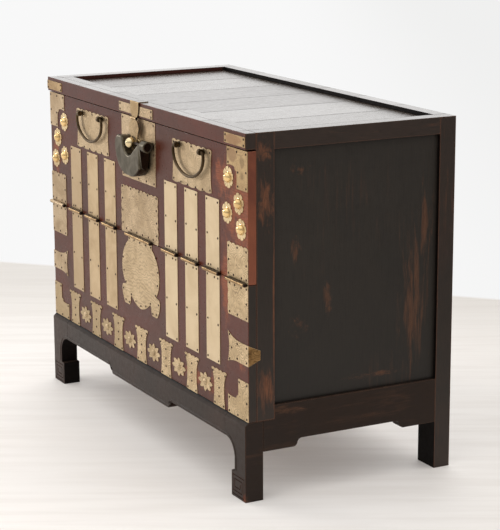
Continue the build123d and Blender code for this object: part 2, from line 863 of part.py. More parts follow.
# Flowers: a ring of petals in sheet brass with a raised dome
for side, hand in ((-1, "left"), (1, "right")):
    shares = zip(door_flower_inset_shares[side], door_flower_height_shares[side])
    places = [(side * (half_width - corner_plate_width * inset), door_bottom + door_height * lift)
              for inset, lift in shares]
    with BuildPart() as flowers:
        with BuildSketch(face):
            for place in places:
                with BuildLine():
                    petals(*place, door_flower_radius, door_flower_radius)
                make_face()
        extrude(amount=sheet)
        with Locations(*((x, depth(-sheet), z) for x, z in places)):
            add(dome(door_flower_dome_radius, door_flower_dome_height))
    write(flowers.part, f"door_flowers_{hand}")

base_plate_offsets = [(i - (base_plate_count - 1) / 2) * base_plate_spacing for i in range(base_plate_count)]
places = [(offset + base_plate_spacing / 2, stand_height + base_flower_height)
          for offset in base_plate_offsets[:-1]]
with BuildPart() as base_flowers:
    with BuildSketch(face):
        for place in places:
            with BuildLine():
                petals(*place, base_flower_half_width, base_flower_half_height)
            make_face()
    extrude(amount=sheet)
    with Locations(*((x, depth(-sheet), z) for x, z in places)):
        add(dome(base_flower_dome_radius, base_flower_dome_height))
write(base_flowers.part, "base_flowers")

# Waisted plates along the foot of the lower board. Shares are of the plate's height.
waist_shares = (0.28, 0.58)
with BuildPart() as base_plates:
    with BuildSketch(face):
        for offset in base_plate_offsets:
            with BuildLine():
                top = base_edge + base_plate_height - lobe_depth
                levels = [base_edge + share * base_plate_height for share in waist_shares]
                waist = base_plate_waist_width / 2
                foot = base_plate_foot_width / 2
                crown = base_plate_top_width / 2
                Polyline((offset + waist, levels[1]), (offset + waist, levels[0]),
                         (offset + foot, base_edge), (offset - foot, base_edge),
                         (offset - waist, levels[0]), (offset - waist, levels[1]))
                TangentArc((offset - waist, levels[1]), (offset - crown, top), tangent=(0, 1))
                Polyline(*lobes((offset - crown, top), (offset + crown, top), base_plate_lobe_count,
                                lobe_depth))
                TangentArc((offset + waist, levels[1]), (offset + crown, top), tangent=(0, 1))
            make_face()
    extrude(amount=sheet)
write(base_plates.part, "base_waisted_plates")

# Bail handles: a scalloped plate, two posts clenched inside the door, and a bail between them
bail_pivot = depth(-handle_pivot_proud)
side_turn = math.radians(bail_side_turn)
side_centre = (bail_half_width - bail_side_radius, -bail_corner_radius)
bottom_radius = bail_side_radius + side_centre[0] / math.cos(side_turn)
bottom_centre = (0, side_centre[1] + side_centre[0] * math.tan(side_turn))
corner_centre = (bail_half_width - bail_corner_radius, -bail_corner_radius)
half_route = [
    (handle_post_spacing / 2 - bail_tail, 0),
    *arc_route(corner_centre, bail_corner_radius, 90, 0, bail_corner_steps),
    *arc_route(side_centre, bail_side_radius, 0, -bail_side_turn, bail_side_steps)[1:],
    arc_route(bottom_centre, bottom_radius, -bail_side_turn, -90, bail_side_steps)[1],
]
for place, hand in zip(handle_places, ("left", "right")):
    with BuildPart() as plate:
        with BuildSketch(face):
            with BuildLine():
                half = handle_plate_width / 2
                foot = handle_plate_bottom + lobe_depth
                top = handle_plate_bottom + handle_plate_height - lobe_depth
                middle = (foot + top) / 2
                corners = [(place - half, foot), (place - half, top), (place + half, top),
                           (place + half, foot)]
                ThreePointArc(corners[0], (place - half + handle_side_hollow, middle), corners[1])
                Polyline(*lobes(corners[1], corners[2], handle_lobe_count, lobe_depth))
                ThreePointArc(corners[2], (place + half - handle_side_hollow, middle), corners[3])
                Polyline(*lobes(corners[3], corners[0], handle_foot_lobe_count, lobe_depth))
            make_face()
        extrude(amount=sheet)
        for side in (-1, 1):
            shank(place + side * handle_post_spacing / 2, handle_post_height, -overrun, overrun,
                  handle_shank_width + 2 * pin_clearance, Mode.SUBTRACT)
    write(plate.part, f"handle_plate_{hand}")

    with BuildPart() as posts:
        for side in (-1, 1):
            post = place + side * handle_post_spacing / 2
            rod(post - handle_eye_width / 2, post + handle_eye_width / 2, bail_pivot, handle_post_height,
                handle_eye_radius)
            shank(post, handle_post_height, -handle_pivot_proud, -sheet, handle_neck_width)
            shank(post, handle_post_height, -sheet, door_thickness + clench_thickness,
                  handle_shank_width)
            shank(post, handle_post_height, door_thickness, door_thickness + clench_thickness,
                  clench_width)
            rod(post - handle_eye_width, post + handle_eye_width, bail_pivot, handle_post_height,
                bail_wire_radius + bail_clearance, Mode.SUBTRACT)
    write(posts.part, f"handle_posts_{hand}")

    with BuildPart() as bail:
        seat = Plane((place, bail_pivot, handle_post_height), x_dir=(1, 0, 0), z_dir=(0, -1, 0))
        with BuildLine(seat):
            Polyline(*half_route, *((-x, z) for x, z in reversed(half_route)))
        with BuildSketch(Plane(seat.from_local_coords(half_route[0]), x_dir=(0, 1, 0), z_dir=(1, 0, 0))):
            RegularPolygon(bail_wire_radius, rod_sides, rotation=180 / rod_sides)
        sweep(transition=Transition.RIGHT)
    write(bail.part, f"bail_{hand}")

# Lock plate and the ball-headed staple that stands through it
with BuildPart() as lock_plate:
    block(centred(0, lock_plate_width), (depth(-sheet), depth(0)), (door_top - lock_plate_height, door_top))
    shank(0, staple_height, -overrun, overrun, staple_shank_width + 2 * pin_clearance, Mode.SUBTRACT)
write(lock_plate.part, "lock_plate")

bar_y = depth(-bar_proud)
with BuildPart() as ball:
    with BuildSketch(Plane.XZ):
        RegularPolygon(ball_radius, ball_sides)
    extrude(amount=ball_radius, both=True)
    chamfer(ball.faces().filter_by(Axis.Y).edges(), ball_radius * ball_bevel_share)

with BuildPart() as staple:
    shank(0, staple_height, -ball_proud, door_thickness + clench_thickness, staple_shank_width)
    shank(0, staple_height, door_thickness, door_thickness + clench_thickness,
          clench_width + staple_shank_width)
    with Locations((0, depth(-ball_proud), staple_height)):
        add(ball.part)
    rod(-ball_radius - overrun, ball_radius + overrun, bar_y, staple_height, bar_radius + bar_clearance,
        Mode.SUBTRACT)
write(staple.part, "lock_staple")

# Hasp: a strap bent over the top rail, and a tongue that hangs from its knuckles
hasp_pivot = depth(-hasp_pivot_proud)
strap_back = overlay_rail_proud + sheet + plate_clearance
strap_front = strap_back + hasp_sheet
outer_knuckle = (hasp_neck_width - hasp_middle_knuckle) / 2 - knuckle_gap
outer_start = hasp_middle_knuckle / 2 + knuckle_gap
hasp_bore = hasp_pin_radius + pin_clearance
with BuildPart() as hasp_strap:
    with BuildSketch(Plane.YZ.offset(-hasp_leaf_width / 2)):
        with BuildLine():
            leaf_end = depth(hasp_leaf_depth - strap_front)
            Polyline((leaf_end, case_height), (leaf_end, case_height + hasp_sheet),
                     (depth(hasp_sheet - strap_front), case_height + hasp_sheet))
            RadiusArc((depth(hasp_sheet - strap_front), case_height + hasp_sheet),
                      (depth(-strap_front), case_height), -hasp_sheet)
            Polyline((depth(-strap_front), case_height), (depth(-strap_front), hasp_pivot_height),
                     (depth(-strap_back), hasp_pivot_height), (depth(-strap_back), case_height),
                     (leaf_end, case_height))
        make_face()
    extrude(amount=hasp_leaf_width)
    # The strap narrows to the knuckles below the rail's plate
    for side in (-1, 1):
        with BuildSketch(Plane.XZ.offset(-depth(0))):
            with BuildLine():
                edge = side * hasp_leaf_width / 2
                neck = side * hasp_neck_width / 2
                Polyline((edge, hasp_pivot_height - overrun), (edge, overlay_rail_bottom + rail_plate_height),
                         (neck, overlay_rail_bottom), (neck, hasp_pivot_height - overrun), close=True)
            make_face()
        extrude(amount=front_reach, mode=Mode.SUBTRACT)
    room = (centred(0, hasp_middle_knuckle + 2 * knuckle_gap),
            centred(hasp_pivot, 2 * hasp_knuckle_radius),
            centred(hasp_pivot_height, 2 * hasp_knuckle_radius))
    for side in (-1, 1):
        ends = sorted((side * outer_start, side * (outer_start + outer_knuckle)))
        rod(*ends, hasp_pivot, hasp_pivot_height, hasp_knuckle_radius)
    cut(room, knuckle_gap / 2)
    for side in (-1, 1):
        ends = sorted((side * outer_start, side * (outer_start + outer_knuckle)))
        rod(*ends, hasp_pivot, hasp_pivot_height, hasp_bore, Mode.SUBTRACT)
write(hasp_strap.part, "hasp_strap")

with BuildPart() as hasp_pin:
    rod(-hasp_neck_width / 2, hasp_neck_width / 2, hasp_pivot, hasp_pivot_height, hasp_pin_radius)
write(hasp_pin.part, "hasp_pin")

end_centre = staple_height - hasp_end_lift
with BuildPart() as tongue:
    with BuildSketch(Plane.XZ.offset(-hasp_pivot)):
        with BuildLine():
            top = hasp_pivot_height - hasp_knuckle_radius - knuckle_gap
            half_neck = hasp_middle_knuckle / 2
            shoulder = (hasp_neck_width / 2, top)
            flare = (hasp_flare_half_width, hasp_pivot_height - hasp_flare_drop)
            waist = (hasp_waist_half_width, hasp_pivot_height - hasp_waist_drop)
            end = (hasp_end_radius, end_centre)
            Polyline((0, hasp_pivot_height), (half_neck, hasp_pivot_height), (half_neck, top), shoulder)
            ThreePointArc(shoulder, (flare[0], (shoulder[1] + flare[1]) / 2), flare)
            Line(flare, waist)
            Line(waist, end)
            ThreePointArc(end, (0, end_centre - hasp_end_radius), (-end[0], end[1]))
            Line((-end[0], end[1]), (-waist[0], waist[1]))
            Line((-waist[0], waist[1]), (-flare[0], flare[1]))
            ThreePointArc((-flare[0], flare[1]), (-flare[0], (shoulder[1] + flare[1]) / 2),
                          (-shoulder[0], shoulder[1]))
            Polyline((-shoulder[0], shoulder[1]), (-half_neck, top), (-half_neck, hasp_pivot_height),
                     (0, hasp_pivot_height))
        make_face()
    extrude(amount=hasp_sheet / 2, both=True)
    with BuildSketch(Plane.XZ.offset(-hasp_pivot)):
        with Locations((0, staple_height)):
            RectangleRounded(hasp_slot_width, hasp_slot_height, hasp_slot_width / 2 - edge_round)
    extrude(amount=hasp_sheet, both=True, mode=Mode.SUBTRACT)
    rod(-half_neck, half_neck, hasp_pivot, hasp_pivot_height, hasp_knuckle_radius)
    rod(-half_neck, half_neck, hasp_pivot, hasp_pivot_height, hasp_bore, Mode.SUBTRACT)
write(tongue.part, "hasp_tongue")

# Padlock body: a deep-bellied casting with a horn on the left and a cheek on the right. Its bar line is
# the staple's ball, and a bore in the belly takes the sprung rod.
rod_height = staple_height - rod_drop
bottom = staple_height - padlock_depth
slope = math.radians(padlock_notch_slope)
notch_exit = (padlock_notch_radius * math.sin(slope), staple_height - padlock_notch_radius * math.cos(slope))
cheek_height = notch_exit[1] + (padlock_right - notch_exit[0]) * math.tan(slope)
horn_top = staple_height + padlock_horn_height
belly_shares = {"right": (0.64, 0.93), "left": (0.7, 0.8), "flank": 0.2, "heel": 0.7}
with BuildPart() as padlock:
    with BuildSketch(Plane.XZ.offset(-bar_y)):
        with BuildLine():
            heel = (padlock_right, staple_height - belly_shares["heel"] * padlock_depth)
            flank = (-padlock_left, staple_height - belly_shares["flank"] * padlock_depth)
            horn = (-padlock_left + padlock_half_thickness, horn_top)
            horn_in = (-padlock_notch_radius - padlock_horn_height, horn_top)
            notch_in = (-padlock_notch_radius, staple_height)
            ThreePointArc(heel, (belly_shares["right"][0] * padlock_right,
                                 staple_height - belly_shares["right"][1] * padlock_depth), (0, bottom))
            ThreePointArc((0, bottom), (-belly_shares["left"][0] * padlock_left,
                                        staple_height - belly_shares["left"][1] * padlock_depth), flank)
            ThreePointArc(flank, (-padlock_left + edge_round, staple_height), horn)
            Line(horn, horn_in)
            RadiusArc(horn_in, notch_in, padlock_horn_curve)
            ThreePointArc(notch_in, (0, staple_height - padlock_notch_radius), notch_exit)
            Polyline(notch_exit, (padlock_right, cheek_height), heel)
        make_face()
    extrude(amount=padlock_half_thickness, both=True)
    with BuildSketch(Plane.YZ.offset(-padlock_left)):
        with Locations((bar_y, staple_height)):
            Circle(padlock_half_thickness)
        with Locations((bar_y, (staple_height + bottom) / 2)):
            Rectangle(2 * padlock_half_thickness, padlock_depth)
        fillet(vertices().group_by(Axis.Y)[0], padlock_bottom_round)
    extrude(amount=padlock_left + padlock_right, mode=Mode.INTERSECT)
    rod(-bar_socket_reach, padlock_right + overrun, bar_y, staple_height, bar_radius + bar_clearance,
        Mode.SUBTRACT)
    rod(-rod_bore_reach, padlock_right + overrun, bar_y, rod_height, rod_bore_radius, Mode.SUBTRACT)
    block((-padlock_left, -rod_bore_reach + overrun), centred(bar_y, keyhole_width),
          centred(rod_height, keyhole_height), mode=Mode.SUBTRACT)
write(padlock.part, "padlock_body")

# Shackle: the bar and the sprung rod on one end plate, with a round lobe on the bar's line
plate_start = padlock_right + end_plate_gap
plate_end = plate_start + end_plate_thickness
with BuildPart() as shackle:
    with BuildSketch(Plane.YZ.offset(plate_start)):
        with BuildLine():
            Polyline((bar_y - end_foot_radius, rod_height), (bar_y - end_lobe_radius, staple_height),
                     (bar_y + end_lobe_radius, staple_height), (bar_y + end_foot_radius, rod_height),
                     close=True)
        make_face()
        with Locations((bar_y, rod_height)):
            Circle(end_foot_radius)
    extrude(amount=end_plate_thickness)
    with Locations((plate_start + end_lobe_length / 2, bar_y, staple_height)):
        Cylinder(end_lobe_radius, end_lobe_length, rotation=(0, 90, 0))
    rod(-bar_reach, plate_end, bar_y, staple_height, bar_radius)
    rod(-rod_reach, plate_end, bar_y, rod_height, rod_radius)
    for side in (-1, 1):
        tip = -rod_reach + spring_thickness
        with BuildSketch(Plane.XZ.offset(-bar_y)):
            with BuildLine():
                base = rod_height + side * rod_radius / 2
                lift = side * spring_lift
                leaf = side * spring_thickness
                Polyline((tip, base), (tip, base + leaf), (tip + spring_length, base + lift + leaf),
                         (tip + spring_length, base + lift), close=True)
            make_face()
        extrude(amount=spring_width / 2, both=True)
write(shackle.part, "padlock_shackle")

print("face at y", face_y, "front reach", front_reach, "depth", total_depth)
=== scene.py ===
import random
from math import atan, cos, hypot, pi, radians, sin, tan

import bpy
from mathutils import Matrix, Vector


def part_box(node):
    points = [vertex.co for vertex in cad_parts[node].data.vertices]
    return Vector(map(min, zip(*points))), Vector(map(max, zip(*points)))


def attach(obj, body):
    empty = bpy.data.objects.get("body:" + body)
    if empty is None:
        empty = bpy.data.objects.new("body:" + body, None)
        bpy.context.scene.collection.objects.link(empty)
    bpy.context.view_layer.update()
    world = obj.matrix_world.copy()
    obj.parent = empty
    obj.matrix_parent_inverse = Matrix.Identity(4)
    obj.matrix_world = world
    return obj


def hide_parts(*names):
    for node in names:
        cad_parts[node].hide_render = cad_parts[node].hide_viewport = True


# The looks of a lacquered dowry chest. Lengths are in millimetres until mm() turns them into metres.
# Places on the front are pairs of x and z, and "proud" is how far a thing stands in front of the boards.
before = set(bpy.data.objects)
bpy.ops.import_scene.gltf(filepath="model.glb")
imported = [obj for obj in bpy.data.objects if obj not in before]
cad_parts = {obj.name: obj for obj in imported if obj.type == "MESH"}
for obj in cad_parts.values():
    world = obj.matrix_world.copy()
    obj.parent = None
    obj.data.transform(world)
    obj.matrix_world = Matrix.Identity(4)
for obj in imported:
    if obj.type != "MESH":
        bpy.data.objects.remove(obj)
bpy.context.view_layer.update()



def starts_at(node, axis):
    """Where a CAD node starts along x, y or z."""
    return round(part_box(node)[0]["xyz".index(axis)] * 1000, 1)


def ends_at(node, axis):
    """Where a CAD node ends along x, y or z."""
    return round(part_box(node)[1]["xyz".index(axis)] * 1000, 1)


FACE = starts_at("door_board", "y")  # front of the boards
HALF = ends_at("door_board", "x")  # half of the case's width
DOOR_TOP = ends_at("door_board", "z")
STAND_TOP = ends_at("stand_apron", "z")
STAND_PROUD = FACE - starts_at("stand_apron", "y")
RAIL_PROUD = FACE - starts_at("overlay_rail", "y")
SHEET = 1.2  # thickness of the brass
LOBE = 3  # rise of a hand-cut lobe
HINGE_LINE = (starts_at("door_board", "z") + ends_at("lower_front_board", "z")) / 2
KNUCKLE_PROUD = 6  # axis of the hinges before the boards
LEAF_GAP = 0.8  # from the hinge line to a leaf
LOCK_LINE = (starts_at("lock_staple", "z") + ends_at("lock_staple", "z")) / 2  # axis of the padlock's bar
LOCK_PROUD = 15
HASP_LINE = 715
HASP_PROUD = 10
BAIL_LINE = 687
BAIL_PROUD = 9
PLATE_INNER = 419  # inner ends of the corner plates
PITCH = 126.3  # from one waisted plate of the base to the next
CLOSE = 0.000002  # metres within which points are merged

dice = random.Random(11)
for _ in range(9):  # the lobes are cut from the tenth throw on
    dice.random()


def mm(x, y, z):
    return Vector((x, y, z)) * 0.001


def spot(x, z, proud=0):
    """A place in front of the boards."""
    return mm(x, FACE - proud, z)


# Shader work


class Thread:
    """A value on its way through a shader, so that masks are added and multiplied as they read."""

    def __init__(self, tree, socket):
        self.tree, self.socket = tree, socket

    def calc(self, operation, first, second=0.0):
        return wire(self.tree, "ShaderNodeMath", {0: first, 1: second}, operation=operation)

    def __add__(self, other):
        return self.calc("ADD", self, other)

    def __sub__(self, other):
        return self.calc("SUBTRACT", self, other)

    def __rsub__(self, other):
        return self.calc("SUBTRACT", other, self)

    def __mul__(self, other):
        return self.calc("MULTIPLY", self, other)

    def most(self, other):
        return self.calc("MAXIMUM", self, other)

    def vector(self, operation, other=(0, 0, 0)):
        give = "Value" if operation in ("DOT_PRODUCT", "LENGTH") else "Vector"
        return wire(self.tree, "ShaderNodeVectorMath", {0: self, 1: other}, give, operation=operation)

    def spread(self, low, high, to_low=0.0, to_high=1.0, kind="SMOOTHSTEP"):
        """The way from low to high laid over another."""
        ends = {"From Min": low, "From Max": high, "To Min": to_low, "To Max": to_high}
        return wire(self.tree, "ShaderNodeMapRange", {"Value": self, **ends}, "Result",
                    interpolation_type=kind)

    def noise(self, scale, detail, rough, warp=0.0):
        cloud = {"Scale": scale, "Detail": detail, "Roughness": rough, "Distortion": warp}
        return wire(self.tree, "ShaderNodeTexNoise", {"Vector": self, **cloud}, "Fac")

    def split(self):
        """Its x, y and z."""
        return [wire(self.tree, "ShaderNodeSeparateXYZ", {0: self}, axis) for axis in "XYZ"]


def feed(tree, sockets, values):
    """Links what is a thread and sets what is a value. A colour may leave its alpha out."""
    for key, value in values.items():
        socket = sockets[key]
        if isinstance(value, Thread):
            tree.links.new(value.socket, socket)
        else:
            socket.default_value = (*value, 1.0) if socket.type == "RGBA" and len(value) == 3 else value


def wire(tree, kind, inputs=None, give=0, **settings):
    """A node with its settings and inputs, and the thread of one of its outputs."""
    node = tree.nodes.new(kind)
    for key, value in settings.items():
        setattr(node, key, value)
    feed(tree, node.inputs, inputs or {})
    return Thread(tree, node.outputs[give])


def here(tree):
    return wire(tree, "ShaderNodeTexCoord", give="Object")


def mix(share, first, second):
    tree = next(value.tree for value in (share, first, second) if isinstance(value, Thread))
    return wire(tree, "ShaderNodeMix", {0: share, 6: first, 7: second}, 2, data_type="RGBA")


def shade(red, green, blue):
    """A colour given as it looks on a screen, from 0 to 255."""
    return tuple((c / 255) ** 2.2 for c in (red, green, blue))


def dimmed(colour, share):
    return tuple(c * share for c in colour)


def new_group(name, takes, gives):
    """A node group with the threads of its inputs and its output sockets."""
    group = bpy.data.node_groups.new(name, "ShaderNodeTree")
    for label, value in takes.items():
        kind = "Float" if isinstance(value, float) else {3: "Vector", 4: "Color"}[len(value)]
        socket = group.interface.new_socket(label, in_out="INPUT", socket_type="NodeSocket" + kind)
        socket.default_value = value
    for label, kind in gives.items():
        group.interface.new_socket(label, in_out="OUTPUT", socket_type="NodeSocket" + kind)
    entry = group.nodes.new("NodeGroupInput").outputs
    take = {label: Thread(group, entry[label]) for label in takes}
    return group, take, group.nodes.new("NodeGroupOutput").inputs


def use(tree, group, **values):
    """A group put to use, with the threads of its outputs."""
    node = tree.nodes.new("ShaderNodeGroup")
    node.node_tree = group
    feed(tree, node.inputs, values)
    return {output.name: Thread(tree, output) for output in node.outputs}


def make_rubbed_edges():
    """Where hands and cloths have rubbed the finish off the edges."""
    group, take, give = new_group("rubbed edges", {"Reach": 0.004, "Patches": 25.0, "Amount": 1.0},
                                  {"Rub": "Float"})
    rounded = wire(group, "ShaderNodeBevel", {"Radius": take["Reach"]}, samples=6)
    turn = rounded.vector("DOT_PRODUCT", wire(group, "ShaderNodeNewGeometry", give="Normal"))
    worn = (1.0 - turn).spread(0.0, 0.2) + here(group).noise(take["Patches"], 6, 0.65) * 1.1
    feed(group, give, {"Rub": worn.spread(0.98, 1.45) * take["Amount"]})
    return group


def make_wood_grain():
    """Long fibres and pores that run along one axis."""
    group, take, give = new_group("wood grain", {"Stretch": (1, 1, 1)}, {"Grain": "Float", "Pores": "Float"})
    place = here(group).vector("MULTIPLY", take["Stretch"])
    feed(group, give, {"Grain": place.noise(60, 5, 0.6, 0.4),
                       "Pores": place.noise(260, 3, 0.7).spread(0.52, 0.72)})
    return group


def make_cloud_patch():
    """A cloud about one place, broken up by noise, for wear on the lacquer and for marks on the brass, some
    of them painted shade.
    """
    takes = {"Middle": (0, 0, 0), "Reach": (1, 1, 1), "Scale": (1, 1, 1), "Cover": 0.5}
    group, take, give = new_group("cloud patch", takes, {"Mask": "Float"})
    place = here(group)
    far = place.vector("SUBTRACT", take["Middle"]).vector("DIVIDE", take["Reach"]).vector("LENGTH")
    cloud = place.vector("MULTIPLY", take["Scale"]).noise(14, 8, 0.72, 0.5) - 0.5
    total = far.spread(1.0, 0.0, kind="LINEAR") + cloud * 1.8 + take["Cover"]
    feed(group, give, {"Mask": total.spread(0.62, 1.05) * far.spread(1.0, 0.75)})
    return group


def make_wear_streaks():
    """Long rubs that follow the grain, and blotches between them."""
    group, take, give = new_group("wear streaks", {"Scale": (1, 1, 1), "Cover": 0.0}, {"Mask": "Float"})
    place = here(group)
    lines = place.vector("MULTIPLY", take["Scale"]).noise(9, 7, 0.7, 0.3)
    total = lines + (place.noise(4.5, 4, 0.6) - 0.5) * 0.7 + take["Cover"]
    feed(group, give, {"Mask": total.spread(0.56, 0.82)})
    return group


def make_brass_age():
    """Tarnish, specks and fine marks on brass, and the lines of a graver."""
    group, take, give = new_group(
        "brass age",
        {"Bright": (1, 1, 1, 1), "Dull": (0, 0, 0, 1), "Tarnish": 0.5, "Graving": 0.0, "Waves": 0.0},
        {"Colour": "Color", "Roughness": "Float", "Height": "Float"},
    )
    place = here(group)
    clouds = place.noise(16, 6, 0.6, 0.6)
    colour = mix(clouds.spread(0.34, 0.72) * take["Tarnish"], take["Bright"], take["Dull"])
    specks = place.noise(240, 3, 0.7).spread(0.62, 0.78) * take["Tarnish"]
    colour = mix(specks * 0.6, colour, take["Dull"])
    marks = wire(group, "ShaderNodeMapping", {"Vector": place, "Scale": (1, 1, 0.12)}).noise(420, 2, 0.5)
    # The place is bent a little, so that no engraved line runs true
    bend = wire(group, "ShaderNodeTexNoise", {"Vector": place, "Scale": 34.0, "Detail": 2.0}, "Color")
    bend = bend.vector("SUBTRACT", (0.5, 0.5, 0.5))
    bend = wire(group, "ShaderNodeVectorMath", {0: bend, "Scale": 0.03}, operation="SCALE")
    bent = place.vector("ADD", bend)
    # Ripples on the vase, and rings about small cells on the other plates
    waves = {"Vector": bent, "Scale": 42.0, "Distortion": 5.0, "Detail": 1.0, "Detail Scale": 1.5}
    ripples = wire(group, "ShaderNodeTexWave", waves, "Fac", wave_type="RINGS", rings_direction="Y")
    ripples = ripples.spread(0.5, 0.12) * take["Waves"]
    along, _, height = bent.split()
    cells = {"Vector": wire(group, "ShaderNodeCombineXYZ", {"X": along, "Y": height}), "Scale": 36.0}
    centres = wire(group, "ShaderNodeTexVoronoi", cells, "Distance", voronoi_dimensions="2D")
    rings = centres.calc("PINGPONG", centres, 0.085).spread(0.042, 0.016) * (1.0 - take["Waves"])
    scroll = ripples.most(rings) * place.noise(48, 3, 0.6).spread(0.32, 0.5)
    borders = wire(group, "ShaderNodeTexVoronoi", cells, "Distance", voronoi_dimensions="2D",
                   feature="DISTANCE_TO_EDGE").spread(0.07, 0.02) * 0.45
    grime = place.noise(75, 4, 0.7).spread(0.5, 0.68) * 0.55
    cut = scroll.most(borders).most(grime) * take["Graving"]
    colour = mix(cut * 0.9, colour, mix(0.55, take["Dull"], (0.03, 0.018, 0.008)))
    feed(group, give, {"Colour": colour,
                       "Roughness": clouds.spread(0.3, 0.75, 0.0, 0.16, "LINEAR") + marks * 0.12,
                       "Height": clouds * 0.5 + marks * 0.08 - cut * 0.35})
    return group


rubbed_edges = make_rubbed_edges()
wood_grain = make_wood_grain()
cloud_patch = make_cloud_patch()
wear_streaks = make_wear_streaks()
brass_age = make_brass_age()


def blank(name):
    """A new material, its tree and the inputs of its shader."""
    material = bpy.data.materials.new(name)
    material.use_nodes = True
    tree = material.node_tree
    return material, tree, tree.nodes["Principled BSDF"].inputs


def relief(tree, height, strength, distance):
    return wire(tree, "ShaderNodeBump", {"Height": height, "Strength": strength, "Distance": distance})


def corner_shade_and_grime(tree, reach, low=0.35, high=0.8):
    """How deep a place lies in a corner, where painted shade falls and grime gathers."""
    return wire(tree, "ShaderNodeAmbientOcclusion", {"Distance": reach}, "AO", samples=6).spread(high, low)


def lacquer(name, tone, under, stretch, rough=0.36, rub=1.0, reach=0.004, patches=(), second=None,
            coat=0.1, gloss=0.4, grain_depth=0.35, streaks=None, grime_and_shade=0.7, darkened_heights=None, planks=0.0):
    """Old lacquer over wood, rubbed through at the edges, in streaks and in patches to its red ground.

    A patch is a middle, a reach, a scale and a cover. Streaks are a scale, a cover and a strength. Darkened
    heights are the heights from which and to which the lacquer darkens, and planks is the width of a board.
    """
    material, tree, shader = blank(name)
    place = here(tree)
    grain = use(tree, wood_grain, Stretch=stretch)
    fibres, dark = grain["Grain"], dimmed(tone, 0.6)
    colour = mix(place.noise(5, 6, 0.6, 0.8).spread(0.3, 0.7), tone, second or tone)
    along, _, height = place.split()
    if planks:
        run = along + 0.47
        board = run.calc("FLOOR", run.calc("DIVIDE", run, planks))
        own = wire(tree, "ShaderNodeTexWhiteNoise", {"W": board}, "Value", noise_dimensions="1D")
        colour = mix(own * 0.9, colour, dark)
        seam = run.calc("PINGPONG", run, planks / 2).spread(0.0034, 0.0014)
        colour = mix(seam, colour, (0.02, 0.014, 0.01))
    colour = mix(fibres.spread(0.42, 0.72) * 0.45, colour, dark)
    worn = use(tree, rubbed_edges, Reach=reach, Amount=rub)["Rub"]
    for middle, size, scale, cover in patches:
        patch = use(tree, cloud_patch, Middle=mm(*middle), Reach=mm(*size), Scale=scale, Cover=cover)
        worn = worn.most(patch["Mask"])
    if streaks:
        scale, cover, strength = streaks
        worn = worn.most(use(tree, wear_streaks, Scale=scale, Cover=cover)["Mask"] * strength)
    if darkened_heights:
        colour = mix(height.spread(*darkened_heights), colour, (0.006, 0.005, 0.004))
    ground = mix(fibres.spread(0.35, 0.65), under, dimmed(under, 0.62))
    colour = mix(worn * 0.88, colour, ground)
    # Painted shade and grime darken the corners.
    colour = mix(corner_shade_and_grime(tree, 0.012) * grime_and_shade, colour, (0.008, 0.006, 0.005))
    dust = place.noise(90, 4, 0.6)
    shine = dust.spread(0.3, 0.7, rough - 0.07, rough + 0.09, "LINEAR") + worn * 0.18
    rise = fibres * grain_depth - grain["Pores"] * (grain_depth * 0.35) - worn * 0.25
    feed(tree, shader, {"Base Color": colour, "Roughness": shine + own * 0.16 if planks else shine,
                        "Specular IOR Level": gloss, "Coat Roughness": 0.22,
                        "Coat Weight": coat - seam * (0.9 * coat) if planks else coat,
                        "Normal": relief(tree, rise, 0.35, 0.0006)})
    return material


def brass(name, bright, dull, tarnish=0.5, graving=0.0, rough=0.34, stains_and_shade=(), depth=0.25, nook=0.005,
          waves=0.0):
    """Old brass. A stain is a middle, a reach, a cover and a colour; some are painted shade."""
    material, tree, shader = blank(name)
    age = use(tree, brass_age, Bright=bright, Dull=dull, Tarnish=tarnish, Graving=graving, Waves=waves)
    colour = age["Colour"]
    for middle, size, cover, tone in stains_and_shade:
        patch = use(tree, cloud_patch, Middle=mm(*middle), Reach=mm(*size), Scale=(2, 2, 2), Cover=cover)
        colour = mix(patch["Mask"] * 0.72, colour, tone)
    # Painted shade and grime darken the nooks.
    colour = mix(corner_shade_and_grime(tree, nook) * 0.85, colour, dimmed(dull, 0.3))
    feed(tree, shader, {"Base Color": colour, "Roughness": age["Roughness"] + rough, "Metallic": 1.0,
                        "Normal": relief(tree, age["Height"], depth, 0.0007)})
    return material


def cast_iron(name):
    """Dark casting that hands have rubbed bright along its edges."""
    material, tree, shader = blank(name)
    place = here(tree)
    clouds = place.noise(34, 6, 0.6, 0.5)
    pits = place.noise(380, 3, 0.7)
    colour = mix(clouds.spread(0.35, 0.68), (0.13, 0.112, 0.08), (0.075, 0.062, 0.042))
    colour = mix(pits.spread(0.6, 0.75), colour, (0.05, 0.042, 0.034))
    rub = use(tree, rubbed_edges, Reach=0.002, Patches=90.0, Amount=0.9)["Rub"]
    colour = mix(rub, colour, (0.28, 0.245, 0.18))
    # Painted shade and grime darken the hollows, such as the notch about the ball.
    colour = mix(corner_shade_and_grime(tree, 0.016, 0.3, 0.75), colour, (0.012, 0.010, 0.008))
    feed(tree, shader, {"Base Color": colour, "Roughness": clouds.spread(0.3, 0.7, 0.36, 0.5, "LINEAR"),
                        "Metallic": 1.0, "Normal": relief(tree, clouds + pits * 0.3, 0.3, 0.0006)})
    return material


def rusty_iron(name, scale, plain, rusted, metal, smooth, rough):
    material, tree, shader = blank(name)
    rust = here(tree).noise(scale, 3, 0.6)
    feed(tree, shader, {"Base Color": mix(rust.spread(0.4, 0.65), plain, rusted), "Metallic": metal,
                        "Roughness": rust.spread(0.3, 0.7, smooth, rough)})
    return material


